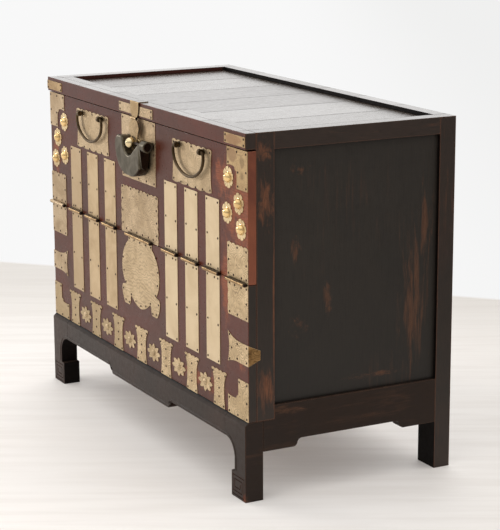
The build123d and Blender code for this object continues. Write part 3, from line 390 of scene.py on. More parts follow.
def pale_floor():
    """Boards that lie across the view and darken away from it, with the pale backdrop behind them."""
    material, tree, shader = blank("pale_floor")
    place = here(tree)
    over = place.vector("DOT_PRODUCT", (0.468, 0.884, 0))
    away = place.vector("DOT_PRODUCT", (-0.884, 0.468, 0))
    boards = wire(tree, "ShaderNodeCombineXYZ", {"X": over * 0.25, "Y": away * 3.0})
    colour = mix(boards.noise(9, 5, 0.6, 0.2).spread(0.35, 0.7), shade(222, 217, 212), shade(211, 205, 199))
    colour = mix(place.noise(1.2, 3, 0.5).spread(0.4, 0.7) * 0.5, colour, shade(219, 216, 213))
    # Painted shade darkens the floor away from the view and towards the right. Far to the right it turns
    # almost black.
    colour = mix(away.spread(0.3, 1.5, 0.0, 0.6), colour, (0.25, 0.23, 0.20))
    colour = mix(over.spread(0.25, 0.7, 0.0, 0.3), colour, (0.22, 0.19, 0.155))
    colour = mix(over.spread(0.98, 1.5), colour, (0.03, 0.03, 0.032))
    # The glow is painted light, standing in for the light that the white room throws on to the floor from
    # every side
    feed(tree, shader, {"Base Color": colour, "Roughness": 0.6, "Emission Color": (1.0, 0.97, 0.94),
                        "Emission Strength": 0.16})
    beyond = place.vector("DOT_PRODUCT", (-0.685, 0.729, 0)).spread(1.295, 1.325)
    wall = mix(over.spread(0.2, 1.6), (0.94, 0.94, 0.94), (0.87, 0.87, 0.865))
    glow = wire(tree, "ShaderNodeEmission", {"Color": wall, "Strength": 1.0})
    floor_shader = Thread(tree, tree.nodes["Principled BSDF"].outputs[0])
    both = wire(tree, "ShaderNodeMixShader", {0: beyond, 1: floor_shader, 2: glow})
    feed(tree, tree.nodes["Material Output"].inputs, {"Surface": both})
    return material


# Grain that runs along x, y or z
ALONG_X, ALONG_Y, ALONG_Z = (0.6, 8, 8), (8, 0.7, 8), (8, 8, 0.7)

front_lacquer = lacquer(
    "front_lacquer", shade(90, 44, 32), shade(150, 87, 62), ALONG_X, rough=0.32, second=shade(75, 44, 33),
    reach=0.003, gloss=0.17, coat=0.0, grain_depth=0.12, streaks=((3, 3, 6), -0.06, 0.3),
    patches=(((500, FACE, 600), (160, 60, 160), (2.5, 1, 1.6), 0.38),
             ((400, FACE, 650), (70, 60, 70), (3, 1, 2), 0.25),
             ((408, FACE, 440), (34, 60, 150), (3, 1, 1.4), 0.3),
             ((480, FACE, 275), (60, 60, 40), (2, 1, 2), 0.0),
             ((300, FACE, 205), (320, 60, 60), (2, 1, 2), 0.0),
             ((-478, FACE, 570), (60, 60, 130), (3, 1, 1.5), 0.12)))
door_end_lacquer = lacquer(
    "door_end_lacquer", shade(132, 74, 50), shade(166, 96, 62), (8, 8, 0.6), rough=0.45,
    second=shade(92, 46, 32), reach=0.003, coat=0.0, streaks=((8, 8, 1.2), 0.04, 0.8))
stand_lacquer = lacquer(
    "stand_lacquer", shade(55, 38, 29), shade(120, 66, 44), (0.7, 8, 8), rough=0.38, second=shade(42, 32, 25),
    rub=0.5, reach=0.002, gloss=0.17, coat=0.0, streaks=((0.8, 6, 6), -0.08, 0.25),
    patches=(((503, -232, 4), (20, 20, 30), (3, 3, 3), 0.2),))
# The ledge turns near black at its very top: painted shadow of the gap under the boards.
ledge_lacquer = lacquer(
    "ledge_lacquer", shade(58, 46, 39), shade(90, 52, 36), (0.7, 8, 8), rough=0.6, second=shade(44, 36, 31),
    rub=0.5, reach=0.002, coat=0.0, gloss=0.2, darkened_heights=(0.1642, 0.1662))
inner_rail_lacquer = lacquer(
    "inner_rail_lacquer", shade(78, 42, 34), shade(104, 62, 48), ALONG_Y, rough=0.6, second=shade(58, 34, 28),
    rub=0.3, coat=0.0, gloss=0.15, grime_and_shade=0.4)
shaded_lacquer = lacquer(
    "shaded_lacquer", shade(24, 18, 15), shade(50, 34, 27), ALONG_Y, rough=0.65, second=shade(17, 13, 11),
    rub=0.3, coat=0.0, gloss=0.1)
side_stand_lacquer = lacquer(
    "side_stand_lacquer", shade(45, 33, 25), shade(98, 68, 50), ALONG_Y, rough=0.45, second=shade(42, 33, 28),
    rub=1.6, gloss=0.18, coat=0.0, streaks=((8, 0.8, 8), 0.0, 0.35),
    patches=(((HALF, -150, 185), (40, 160, 40), (3, 1, 5), -0.12),
             ((503, -230, 4), (20, 20, 30), (3, 3, 3), 0.1)))
frame_lacquer = lacquer(
    "frame_lacquer", shade(50, 44, 39), shade(118, 76, 54), ALONG_Z, rough=0.42, second=shade(58, 47, 41),
    rub=0.85, reach=0.005, gloss=0.25, coat=0.0, streaks=((12, 12, 0.8), 0.0, 0.4),
    patches=(((HALF, -185, 610), (40, 50, 150), (5, 5, 1.5), 0.0),
             ((HALF, -190, 715), (40, 60, 60), (4, 4, 3), -0.02),
             ((HALF, -157, 430), (40, 15, 360), (7, 7, 0.35), 0.7),
             ((HALF, -185, 240), (40, 50, 120), (6, 6, 1), 0.06)))
rail_lacquer = lacquer(
    "rail_lacquer", shade(54, 46, 41), shade(128, 84, 62), ALONG_Y, rough=0.42, second=shade(60, 49, 43),
    rub=0.6, gloss=0.25, coat=0.0, streaks=((8, 0.8, 9), 0.0, 0.45))
top_lacquer = lacquer(
    "top_lacquer", shade(86, 74, 64), shade(66, 46, 36), (8, 0.6, 8), rough=0.2, second=shade(74, 62, 52),
    rub=0.7, coat=1.0, gloss=0.5, grain_depth=0.006, streaks=((8, 0.5, 8), 0.04, 0.8), planks=0.15667,
    grime_and_shade=0.9)
# The panel darkens towards the bottom.
panel_wood = lacquer(
    "panel_wood", shade(54, 49, 44), shade(96, 66, 49), (8, 8, 0.5), rough=0.4, second=shade(50, 46, 42),
    rub=0.5, reach=0.003, gloss=0.25, coat=0.0, darkened_heights=(0.66, -0.35), streaks=((15, 15, 0.8), -0.01, 0.32),
    patches=(((HALF, 165, 350), (60, 75, 270), (7, 7, 0.6), 0.1),
             ((HALF, 195, 520), (60, 45, 260), (6, 6, 0.7), 0.0),
             ((HALF, -115, 505), (60, 32, 70), (4, 4, 1.5), 0.05),
             ((HALF, -40, 400), (60, 26, 80), (4, 4, 1.5), 0.05),
             ((HALF, -100, 670), (60, 80, 60), (4, 4, 3), -0.12),
             ((HALF, 90, 226), (60, 210, 20), (7, 2, 7), 0.0),
             ((HALF, -110, 350), (60, 80, 80), (5, 5, 4), -0.12)))
inner_wood = lacquer("inner_wood", shade(138, 104, 74), shade(110, 80, 56), ALONG_X, rough=0.6,
                     second=shade(122, 92, 66), rub=0.3, coat=0.0)

strap_brass = brass("strap_brass", (0.66, 0.53, 0.35), (0.52, 0.40, 0.245), 0.45, rough=0.36)
# Painted shade together with tarnish: a darker brass for the straps on the left, darker still under its
# stain.
far_tarnished_shaded_brass = brass("far_tarnished_shaded_brass", (0.58, 0.44, 0.27), (0.42, 0.30, 0.17), 0.6, rough=0.38,
                  stains_and_shade=(((-360, FACE, 430), (110, 60, 400), 0.6, (0.46, 0.34, 0.21)),))
# Its stain darkens the plates of the base's left half: painted shade together with tarnish.
graved_brass = brass("graved_brass", (0.70, 0.54, 0.335), (0.44, 0.32, 0.18), 0.6, 0.7, 0.38,
                     stains_and_shade=(((-430, FACE, 230), (420, 80, 260), 0.7, (0.38, 0.28, 0.16)),))
middle_brass = brass("middle_brass", (0.60, 0.455, 0.29), (0.36, 0.26, 0.15), 0.6, 0.65, 0.38)
# Painted shade, with a stain at the fold: a much darker brass for the wrap's faces that turn to the side.
folded_brass = brass("folded_brass", (0.42, 0.25, 0.10), (0.10, 0.048, 0.018), 0.9, 0.6, 0.4)
# Painted shade together with tarnish: a darker brass for the other sheets on the left.
left_tarnished_shaded_brass = brass("left_tarnished_shaded_brass", (0.56, 0.43, 0.28), (0.34, 0.24, 0.14), 0.7, 0.3, 0.4)
vase_brass = brass("vase_brass", (0.62, 0.475, 0.295), (0.38, 0.275, 0.155), 0.5, 0.45, 0.36, waves=1.0)
handle_brass = brass("handle_brass", (0.62, 0.475, 0.30), (0.36, 0.26, 0.15), 0.6, 0.5, 0.38)
stained_brass = brass("stained_brass", (0.50, 0.35, 0.18), (0.29, 0.185, 0.095), 0.7, 0.4, 0.38,
                      stains_and_shade=(((458, FACE, 732), (44, 20, 13), 0.8, (0.30, 0.17, 0.09)),
                              ((440, FACE, 700), (26, 20, 16), 0.6, (0.28, 0.17, 0.09)),
                              ((484, FACE, 690), (12, 20, 16), 0.6, (0.24, 0.16, 0.08)),
                              ((484, FACE, 662), (12, 20, 14), 0.6, (0.24, 0.16, 0.08))))
bright_brass = brass("bright_brass", (0.90, 0.64, 0.30), (0.46, 0.27, 0.10), rough=0.1, depth=0.15,
                     nook=0.006)
ball_brass = brass("ball_brass", (0.80, 0.66, 0.40), (0.36, 0.25, 0.11), 0.4, rough=0.1, depth=0.15,
                   nook=0.008)
petal_brass = brass("petal_brass", (0.80, 0.63, 0.37), (0.40, 0.27, 0.13), 0.5, 0.4, 0.3)
gold_brass = brass("gold_brass", (0.50, 0.355, 0.185), (0.28, 0.18, 0.08), 0.6, 0.3, 0.3)
# Painted reflection: a darker brass for the hinge knuckles, standing in for the dark room that the round
# barrels mirror.
barrel_brass = brass("barrel_brass", (0.40, 0.26, 0.12), (0.17, 0.095, 0.04), 0.6, rough=0.3, nook=0.009)
# The near-black stain at the tongue's lower end is painted shadow inside the padlock's notch.
tongue_brass = brass("tongue_brass", (0.52, 0.375, 0.21), (0.28, 0.18, 0.08), 0.7, 0.7,
                     stains_and_shade=(((0, -235, 652), (24, 20, 22), 0.9, (0.02, 0.014, 0.008)),))
bronze_and_shade = brass("dark_bronze_and_shade", (0.105, 0.07, 0.036), (0.035, 0.022, 0.012), 0.7, rough=0.36)
padlock_iron = cast_iron("padlock_iron")
nail_iron = rusty_iron("nail_heads", 700, shade(74, 54, 40), shade(38, 27, 20), 0.7, 0.4, 0.6)
# Besides the pin ends, this near-black iron paints shade on faces of the hasp and the padlock.
pin_and_shade_iron = rusty_iron("pin_ends", 500, shade(52, 36, 26), shade(24, 17, 13), 0.8, 0.35, 0.55)

# Bench work

def clear():
    bpy.ops.object.select_all(action="DESELECT")


def hold(*pieces):
    clear()
    for piece in pieces:
        piece.select_set(True)
    bpy.context.view_layer.objects.active = pieces[0]


def edit(on=True):
    bpy.ops.object.mode_set(mode="EDIT" if on else "OBJECT")


def pick(action="SELECT", kind="VERT"):
    """Selects all of an open mesh or none of it, as points, edges or faces."""
    bpy.ops.mesh.select_mode(type=kind)
    bpy.ops.mesh.select_all(action=action)


def begin(name):
    """Names the primitive just added and opens it with all of it selected."""
    piece = bpy.context.object
    piece.name = piece.data.name = name
    edit()
    pick()
    return piece


def pull(shift):
    """Extrudes what is selected."""
    bpy.ops.mesh.extrude_region_move(TRANSFORM_OT_translate={"value": shift})


def merge():
    bpy.ops.mesh.remove_doubles(threshold=CLOSE)


def bevel(offset, segments=2):
    bpy.ops.mesh.bevel(offset=offset * 0.001, segments=segments, affect="EDGES", clamp_overlap=True)


def knit():
    """Closes the seams and turns every face outwards."""
    pick()
    merge()
    bpy.ops.mesh.normals_make_consistent(inside=False)


def shut(piece, angle=35, level=True):
    """Leaves edit mode and smooths the piece, with its broad faces kept level up to their eased edges."""
    edit(False)
    hold(piece)
    bpy.ops.object.shade_smooth_by_angle(angle=radians(angle))
    if level:
        piece.modifiers.new("level", "WEIGHTED_NORMAL").keep_sharp = True
        bpy.ops.object.modifier_apply(modifier="level")
    return piece


def draw(name, points):
    """A line drawn point by point, left open in edit mode with its last point held."""
    clear()
    bpy.ops.mesh.primitive_circle_add(vertices=3, radius=0.001)
    piece = begin(name)
    bpy.ops.mesh.merge(type="CENTER")
    bpy.ops.transform.translate(value=points[0])
    for start, end in zip(points, points[1:]):
        pull(end - start)
    return piece


def bow(start, end, rise, steps=5):
    """Points of an arc that bulges to the left of the way from start to end. The start is left out."""
    (x0, z0), (x1, z1) = start, end
    chord = hypot(x1 - x0, z1 - z0)
    along = ((x1 - x0) / chord, (z1 - z0) / chord)
    left = (-along[1], along[0])
    half = 2 * atan(2 * rise / chord)
    radius = chord / (2 * sin(half))
    middle = ((x0 + x1) / 2 - left[0] * radius * cos(half), (z0 + z1) / 2 - left[1] * radius * cos(half))
    points = []
    for i in range(1, steps + 1):
        turn = half * (2 * i / steps - 1)
        points.append((middle[0] + radius * (sin(turn) * along[0] + cos(turn) * left[0]),
                       middle[1] + radius * (sin(turn) * along[1] + cos(turn) * left[1])))
    return points


def path(start, *bows):
    """A start and the bows that follow it, each an end, a rise and a number of steps, or an end alone."""
    points = [start]
    for end, *bend in bows:
        points += bow(points[-1], end, *bend) if bend else [end]
    return points


def scallops(start, end, count, rise=LOBE, steps=5):
    """A run of hand-cut lobes, no two quite alike, which bulge to the left. The start is left out."""
    shares = [0] + [(i + dice.uniform(-0.12, 0.12)) / count for i in range(1, count)] + [1]
    stops = [(start[0] + (end[0] - start[0]) * share, start[1] + (end[1] - start[1]) * share)
             for share in shares]
    points = []
    for first, last in zip(stops, stops[1:]):
        points += bow(first, last, rise * dice.uniform(0.75, 1.1), steps)
    return points


def block(name, ring, lift):
    """A closed ring of points filled and raised by lift, left open in edit mode."""
    piece = draw(name, ring)
    pick()
    merge()
    bpy.ops.mesh.edge_face_add()
    pull(lift)
    return piece


def slab(name, ring, lift, rim=0.35):
    """A flat piece cut to a closed ring of points, with its front rim eased."""
    piece = block(name, ring, lift)
    if rim:
        bevel(rim)
    knit()
    return shut(piece)


def plate(name, outline, proud=0, thickness=SHEET, rim=0.35):
    """A sheet cut to an outline on the front."""
    return slab(name, [spot(x, z, proud) for x, z in outline], mm(0, -thickness, 0), rim)


def turned(name, profile, centre, axis="y", steps=24, angle=35):
    """A round piece turned from pairs of a distance along its axis and a radius."""
    along, out = Vector((0, -1, 0)), Vector((1, 0, 0))
    if axis == "x":
        along, out = Vector((1, 0, 0)), Vector((0, 0, 1))
    piece = draw(name, [centre + (along * far + out * radius) * 0.001 for far, radius in profile])
    pick()
    bpy.ops.mesh.spin(steps=steps, angle=2 * pi, center=centre, axis=along)
    knit()
    return shut(piece, angle, level=False)


def rod(start, end, radius, ease=0):
    """The profile of a round bar, with its ends eased if asked."""
    if not ease:
        return [(start, 0), (start, radius), (end, radius), (end, 0)]
    return [(start, 0), (start, radius - ease), (start + ease, radius), (end - ease, radius),
            (end, radius - ease), (end, 0)]


def bar(name, spans, ease=0.3, segments=2):
    """A small bar between pairs of x, y and z with its edges eased."""
    clear()
    bpy.ops.mesh.primitive_cube_add(size=0.001)
    piece = begin(name)
    bpy.ops.transform.resize(value=[abs(b - a) for a, b in spans], center_override=(0, 0, 0))
    bpy.ops.transform.translate(value=mm(*((a + b) / 2 for a, b in spans)))
    if ease:
        bevel(ease, segments)
    knit()
    return shut(piece)


def twin(piece, shift=(0, 0, 0), flip=False):
    """A copy with its own mesh, moved, or mirrored to the other side of the chest."""
    hold(piece)
    bpy.ops.object.duplicate()
    copy = bpy.context.object
    if flip and copy.data.has_custom_normals:
        bpy.ops.mesh.customdata_custom_splitnormals_clear()
    hold(copy)
    edit()
    pick()
    if flip:
        bpy.ops.transform.resize(value=(-1, 1, 1), center_override=(0, 0, 0))
        bpy.ops.mesh.normals_make_consistent(inside=False)
        return shut(copy)
    bpy.ops.transform.translate(value=mm(*shift))
    edit(False)
    return copy


def row(pieces, shifts):
    """The pieces, and a copy of them at each shift along the front."""
    return pieces + [twin(piece, (shift, 0, 0)) for shift in shifts for piece in pieces]


def join(name, pieces):
    hold(*pieces)
    if len(pieces) > 1:
        bpy.ops.object.join()
    piece = bpy.context.object
    piece.name = piece.data.name = name
    return piece


def cut_out(piece, tool):
    """Cuts the tool's form out of the piece."""
    hold(piece)
    modifier = piece.modifiers.new("cut", "BOOLEAN")
    modifier.object = tool
    modifier.operation = "DIFFERENCE"
    modifier.solver = "EXACT"
    bpy.ops.object.modifier_apply(modifier="cut")
    bpy.data.objects.remove(tool)
    return shut(piece)


def settle(name, piece, material, body, slot, *stands_for):
    """The piece gets its name and finish, rides on its body and stands for its nodes."""
    piece.name = piece.data.name = name
    piece.data.materials.clear()
    piece.data.materials.append(material)
    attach(piece, body)
    if stands_for:
        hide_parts(*stands_for)
    return piece


def face_finish(piece, material, chosen):
    """Another finish on the faces that the test picks."""
    piece.data.materials.append(material)
    for face in piece.data.polygons:
        if chosen(face):
            face.material_index = len(piece.data.materials) - 1


def mirrored(*places):
    """Places on the left of the front, then the same on the right."""
    return [(side * x, z) for side in (-1, 1) for x, z in places]


# Wood


def eased(node, width, material, slot="frame_lacquer", body="case", cut=None, others=()):
    """The node's own form with its sharp edges taken off."""
    piece = bpy.data.objects.new(node + "_wood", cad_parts[node].data.copy())
    bpy.context.scene.collection.objects.link(piece)
    hold(piece)
    edit()
    pick()
    merge()
    bpy.ops.mesh.dissolve_limited(angle_limit=radians(0.5))
    bpy.ops.mesh.select_all(action="DESELECT")
    bpy.ops.mesh.select_mode(type="EDGE")
    bpy.ops.mesh.edges_select_sharp(sharpness=radians(40))
    bevel(width)
    pick()
    bpy.ops.mesh.normals_make_consistent(inside=False)
    shut(piece, 50)
    if cut:
        cut(piece)
    settle(node + "_wood", piece, material, body, slot, node)
    for other, chosen in others:
        face_finish(piece, other, chosen)


def upward(face):
    return face.normal.z > 0.9


def sideways(face):
    return abs(face.normal.x) > 0.9


def frontward(face):
    return face.normal.y < -0.9


def ledge(face):
    return face.normal.z > 0.4 and face.normal.y < -0.4 or upward(face)


def spiral_cuts(side):
    """Grooves of a squared spiral in the face of a foot."""
    margin, half_groove, step = 6.5, 1.1, 8
    low, high = 445 + margin, HALF - margin

    def cutting(leg):
        lines = [(low, 6, high, 6), (high, 6, high, 47), (low, 47, high, 47), (low, 14, low, 47),
                 (low, 14, high - step, 14), (high - step, 14, high - step, 39),
                 (low + step, 39, high - step, 39), (low + step, 22, low + step, 39),
                 (low + step, 22, high - 2 * step, 22), (high - 2 * step, 22, high - 2 * step, 31)]
        for x0, z0, x1, z1 in lines:
            across = sorted((side * (x0 - half_groove), side * (x1 + half_groove)))
            deep = (FACE - STAND_PROUD - 3, FACE - STAND_PROUD + 1.6)
            cut_out(leg, bar("groove", [across, deep, (z0 - half_groove, z1 + half_groove)], ease=0))
    return cutting


on_top = (top_lacquer, upward)
on_ends = (frame_lacquer, sideways)
in_shade = (shaded_lacquer, frontward)
eased("door_board", 1.4, front_lacquer, "front_lacquer", "door", others=[(door_end_lacquer, sideways)])
eased("lower_front_board", 1.4, front_lacquer, "front_lacquer", others=[on_ends])
eased("overlay_rail", 1.2, front_lacquer, others=[on_ends, on_top])
eased("stand_apron", 1.4, stand_lacquer, "stand_lacquer", others=[(ledge_lacquer, ledge)])
for side, hand in ((-1, "left"), (1, "right")):
    def inward(face, side=side):
        return face.normal.x * side < -0.9

    def hollow(face, side=side):
        return face.normal.x * side < -0.4

    eased(f"front_leg_{hand}", 1.4, stand_lacquer, "stand_lacquer", cut=spiral_cuts(side),
          others=[(ledge_lacquer, ledge), (side_stand_lacquer, sideways), (shaded_lacquer, hollow)])
    eased(f"side_apron_{hand}", 1.2, side_stand_lacquer, "stand_lacquer")
    eased(f"front_post_{hand}", 1.4, frame_lacquer, others=[on_top])
    eased(f"back_post_{hand}", 1.6, frame_lacquer, others=[on_top, in_shade])
    eased(f"top_side_rail_{hand}", 1.6, rail_lacquer, others=[on_top, (inner_rail_lacquer, inward)])
    eased(f"side_panel_{hand}", 0.8, panel_wood, "panel_wood")
eased("top_front_rail", 1.2, frame_lacquer, others=[on_top])
eased("top_back_rail", 1.6, frame_lacquer, others=[on_top, in_shade])
eased("top_boards", 0.8, top_lacquer, "panel_wood")
eased("base_back_rail", 1.6, frame_lacquer)
eased("back_panel", 0.8, panel_wood, "panel_wood")
for node in ("floor_boards", "floor_bearers"):
    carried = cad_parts[node].data.materials
    carried.clear()
    carried.append(inner_wood)


def bead_line():
    """A thin raised bead along the lower edge of the stand's front."""
    clear()
    bpy.ops.mesh.primitive_circle_add(vertices=8, radius=0.0017, fill_type="NGON")
    bead = begin("stand_bead")
    bpy.ops.transform.translate(value=spot(465, 57, STAND_PROUD - 0.7))

    def turn(x, z, angle, steps):
        bpy.ops.mesh.spin(steps=steps, angle=radians(angle), center=spot(x, z), axis=(0, 1, 0))

    pull(mm(0, 0, 24.5))
    turn(420, 81.5, 90, 10)
    pull(mm(-248, 0, 0))
    turn(172, 114, 68, 4)
    turn(148.8, 123.4, -68, 4)
    pull(mm(-297.6, 0, 0))
    turn(-148.8, 123.4, -68, 4)
    turn(-172, 114, 68, 4)
    pull(mm(-248, 0, 0))
    turn(-420, 81.5, 90, 10)
    pull(mm(0, 0, -24.5))
    knit()
    return shut(bead, 50)


settle("stand_bead", bead_line(), stand_lacquer, "case", "stand_lacquer")

# Hinges

STRAPS = (158.5, 256.2, 353.9)  # middles of the straps
EDGE = 462.5  # middle of the hinge at each edge
STRAP_BARREL, EDGE_BARREL, MIDDLE_BARREL = 66, 76, 127
upper, lower = HINGE_LINE + LEAF_GAP, HINGE_LINE - LEAF_GAP
nails = {"door": [], "case": [], "rail": []}


def knuckles(middle, barrel, count, first, way):
    """Every other knuckle of a barrel with the roll of sheet that joins it to its leaf."""
    radius, gap = 4.2, 0.4
    length = (barrel - (count - 1) * gap) / count
    parts = []
    for i in range(first, count, 2):
        start = middle - barrel / 2 + i * (length + gap)
        parts.append(turned("knuckle", rod(0, length, radius, 0.4),
                            mm(start, FACE - KNUCKLE_PROUD, HINGE_LINE), "x", 20))
        web = sorted((HINGE_LINE + way * LEAF_GAP, HINGE_LINE + way * radius))
        wide = (start + 0.1, start + length - 0.1)
        parts.append(bar("roll", [wide, (FACE - 6.5, FACE - 0.1), web], 0.3, 1))
    return parts


def pin_ends(middle, barrel):
    """The heads that show at both ends of a hinge's pin."""
    profile = [(0, 0), (0, 2.9), (0.7, 3.6), (2.5, 3.6), (3.2, 2.6), (3.4, 0)]
    return [turned("pin_end", [(way * far, radius) for far, radius in profile],
                   mm(middle + way * (barrel / 2 + 0.3), FACE - KNUCKLE_PROUD, HINGE_LINE), "x", 16)
            for way in (-1, 1)]


def barrel_face(face):
    return face.center.y < (FACE - 1.4) * 0.001


def leaf_set(name, leaves, barrels, material, body, node):
    """Leaves that lie flat and the browner knuckles that they roll into, as one piece of one sheet."""
    piece = settle(name, join(name, leaves + barrels), material, body, "sheet_brass", node)
    # Painted reflection: the knuckles take the darker barrel brass, and their upward faces a near-black
    # finish, for the dark room above.
    face_finish(piece, barrel_brass, barrel_face)
    face_finish(piece, bronze_and_shade, lambda face: barrel_face(face) and face.normal.z > 0.5)


def box_ring(x0, x1, z0, z1):
    return [(x0, z0), (x1, z0), (x1, z1), (x0, z1)]


for side, hand, finish in ((-1, "left", far_tarnished_shaded_brass), (1, "right", strap_brass)):
    first = side * STRAPS[0]
    shifts = [side * (place - STRAPS[0]) for place in STRAPS[1:]]
    ends = (first - 30, first + 30)
    ups = row([plate("strap", box_ring(*ends, upper, upper + 150))], shifts)
    downs = row([plate("strap", box_ring(*ends, lower - 190, lower))], shifts)
    leaf_set(f"strap_sheets_upper_{hand}", ups, row(knuckles(first, STRAP_BARREL, 3, 1, 1), shifts),
             finish, "door", f"strap_leaves_upper_{hand}")
    leaf_set(f"strap_sheets_lower_{hand}", downs, row(knuckles(first, STRAP_BARREL, 3, 0, -1), shifts),
             finish, "case", f"strap_leaves_lower_{hand}")
    for x in (side * place for place in STRAPS):
        nails["door"] += [(x - 24, 594), (x + 24, 593), (x - 23, 524), (x + 24, 520), (x - 19, 459),
                          (x - 8, 460), (x + 24, 458)]
        nails["case"] += [(x - 24, 438), (x + 8, 437), (x + 23, 437), (x - 23, 345), (x + 23, 340),
                          (x - 24, 265), (x + 24, 264)]

# Leaves at the edges: 71 high above the hinge line with lobes along the top, and 73 below it with lobes
# down the inner side
ring = [(HALF, upper), (HALF, upper + 71)]
ring += scallops((HALF, upper + 71), (PLATE_INNER, upper + 71), 5, -LOBE) + [(PLATE_INNER, upper)]
edge_up = [plate("edge_leaf", ring)]
ring = [(HALF, lower), (422, lower)]
ring += scallops((422, lower), (422, lower - 73), 3, -LOBE) + [(HALF, lower - 73)]
edge_low = [plate("edge_leaf", ring)]
edge_up_rolls = knuckles(EDGE, EDGE_BARREL, 3, 1, 1)
edge_low_rolls = knuckles(EDGE, EDGE_BARREL, 3, 0, -1)
for level, body, parts in (("upper", "door", edge_up + edge_up_rolls),
                           ("lower", "case", edge_low + edge_low_rolls)):
    left = join("edge_sheet", [twin(part, flip=True) for part in parts])
    settle(f"edge_sheet_{level}_left", left, left_tarnished_shaded_brass, body, "sheet_brass", f"edge_leaf_{level}_left")
leaf_set("edge_sheet_upper_right", edge_up, edge_up_rolls, graved_brass, "door", "edge_leaf_upper_right")
leaf_set("edge_sheet_lower_right", edge_low, edge_low_rolls, graved_brass, "case", "edge_leaf_lower_right")
nails["door"] += mirrored((425, 515), (462, 517), (500, 515), (425, 459), (446, 459), (480, 459), (500, 459),
                          (500, 487), (425, 487))
nails["case"] += mirrored((428, 440), (450, 439), (478, 439), (500, 440), (500, 381), (462, 381), (428, 381),
                          (500, 410))

# The middle hinge has a lobed sheet above and a vase below
half = 193 / 2 - LOBE
top = upper + 107 - LOBE
ring = ([(-half, upper)] + scallops((-half, upper), (-half, top), 6) + scallops((-half, top), (half, top), 10)
        + scallops((half, top), (half, upper), 6))
leaf_set("middle_sheet_upper", [plate("middle_leaf", ring)], knuckles(0, MIDDLE_BARREL, 5, 1, 1),
         middle_brass, "door", "middle_leaf_upper")


def vase_outline():
    """Down the right half in shares of its width and depth, and back up the left."""
    def at(across, down):
        return (across * 97, lower - down * 162)
    right = path(at(0.63, 0), (at(0.63, 0.09),), (at(1, 0.45), 9, 8), (at(0.81, 0.72), 5.5, 6),
                 (at(0.9, 0.73),), (at(1.02, 0.81), 4.5, 5), (at(0.86, 1.0), 3, 6), (at(0.62, 1.0),),
                 (at(0.56, 0.91), 1.5, 3), (at(0.5, 0.86), -1.5, 4), (at(0, 0.985), 4, 8))
    return right + [(-x, z) for x, z in reversed(right[:-1])]


leaf_set("vase_sheet_lower", [plate("vase", vase_outline())], knuckles(0, MIDDLE_BARREL, 5, 0, -1),
         vase_brass, "case", "middle_leaf_lower")
nails["door"] += [(x, 552) for x in (-88, -44, 0, 44, 88)]
nails["door"] += [(x, z) for x in (-88, 88) for z in (525, 498, 470)]
nails["door"] += [(x, 459) for x in (-70, -45, -15, 15, 45, 70)]
nails["case"] += [(x, 439) for x in (-56, -30, 0, 30, 56)]
nails["case"] += mirrored((80, 420), (91, 390), (88, 360), (78, 336), (92, 318), (80, 294), (62, 292),
                          (50, 312))
nails["case"] += [(0, 296), (-26, 301), (26, 301)]

pins = pin_ends(0, MIDDLE_BARREL)
for places, barrel in ((STRAPS, STRAP_BARREL), ((EDGE,), EDGE_BARREL)):
    for x, _ in mirrored(*((place, 0) for place in places)):
        pins += pin_ends(x, barrel)
settle("hinge_pin_ends", join("hinge_pin_ends", pins), pin_and_shade_iron, "case", "cast_brass", "hinge_pins")

# Plates of the rail and corners

rail_band = (722, 742.5)
rail_right = plate("rail_plate", box_ring(PLATE_INNER, HALF, *rail_band), RAIL_PROUD)
rail_left = twin(rail_right, flip=True)
settle("rail_corner_sheets", join("rail_corner_sheets", [rail_left, rail_right]), stained_brass, "case",
       "sheet_brass", "rail_corner_plates")
settle("rail_middle_sheet", plate("rail_middle_sheet", box_ring(-86.5, 86.5, *rail_band), RAIL_PROUD),
       middle_brass, "case", "sheet_brass", "rail_middle_plate")
nails["rail"] += mirrored((424, 726), (424, 738), (501, 726), (501, 738), (80, 726), (80, 738))

door_corner = plate("door_corner", path(
    (HALF, DOOR_TOP - 80), ((HALF, DOOR_TOP),), ((PLATE_INNER, DOOR_TOP),),
    ((PLATE_INNER, DOOR_TOP - 38), 0.6, 3), ((452, DOOR_TOP - 38), 2.5, 4),
    ((460, DOOR_TOP - 45), -2.5, 4), ((460, DOOR_TOP - 80), 0.8, 4)))
left_corner = twin(door_corner, flip=True)
settle("door_corner_sheet_right", door_corner, stained_brass, "door", "sheet_brass",
       "door_corner_plate_right")
settle("door_corner_sheet_left", left_corner, left_tarnished_shaded_brass, "door", "sheet_brass", "door_corner_plate_left")
nails["door"] += mirrored((425, 708), (425, 683), (462, 708), (500, 708), (500, 672), (500, 640), (466, 640),
                          (466, 668))

base_corner = plate("base_corner", path(
    (HALF, 168), ((HALF, 249),), ((463, 249),), ((463, 214), 0.8, 4), ((455, 207), -2.5, 4),
    ((PLATE_INNER, 207), 2, 4), ((PLATE_INNER, 168),)))
settle("base_corner_sheets", join("base_corner_sheets", [twin(base_corner, flip=True), base_corner]),
       graved_brass, "case", "sheet_brass", "base_corner_plates")
nails["case"] += mirrored((468, 243), (500, 243), (500, 206), (500, 173), (462, 173), (425, 173), (425, 201))


def wrap_sheet():
    """A swallow-tailed sheet that folds round the corner on to the side."""
    low, high = (STAND_TOP + 108, STAND_TOP + 116), (STAND_TOP + 172, STAND_TOP + 159)
    waist, fold, mid = HALF - 36, HALF + SHEET, STAND_TOP + 137
    front = plate("wrap", path((fold, high[1]), ((waist, high[1]),), ((PLATE_INNER, high[0]), 3, 6),
                               ((PLATE_INNER, low[0]), 6, 6), ((waist, low[1]), 3, 6), ((fold, low[1]),)))
    ring = [mm(HALF, FACE - SHEET * 0.5 + y, z)
            for y, z in ((0, low[1]), (27, mid - 9.5), (27, mid + 9.5), (0, high[1]))]
    return join("wrap_sheet_right", [front, slab("flap", ring, mm(SHEET, 0, 0))])


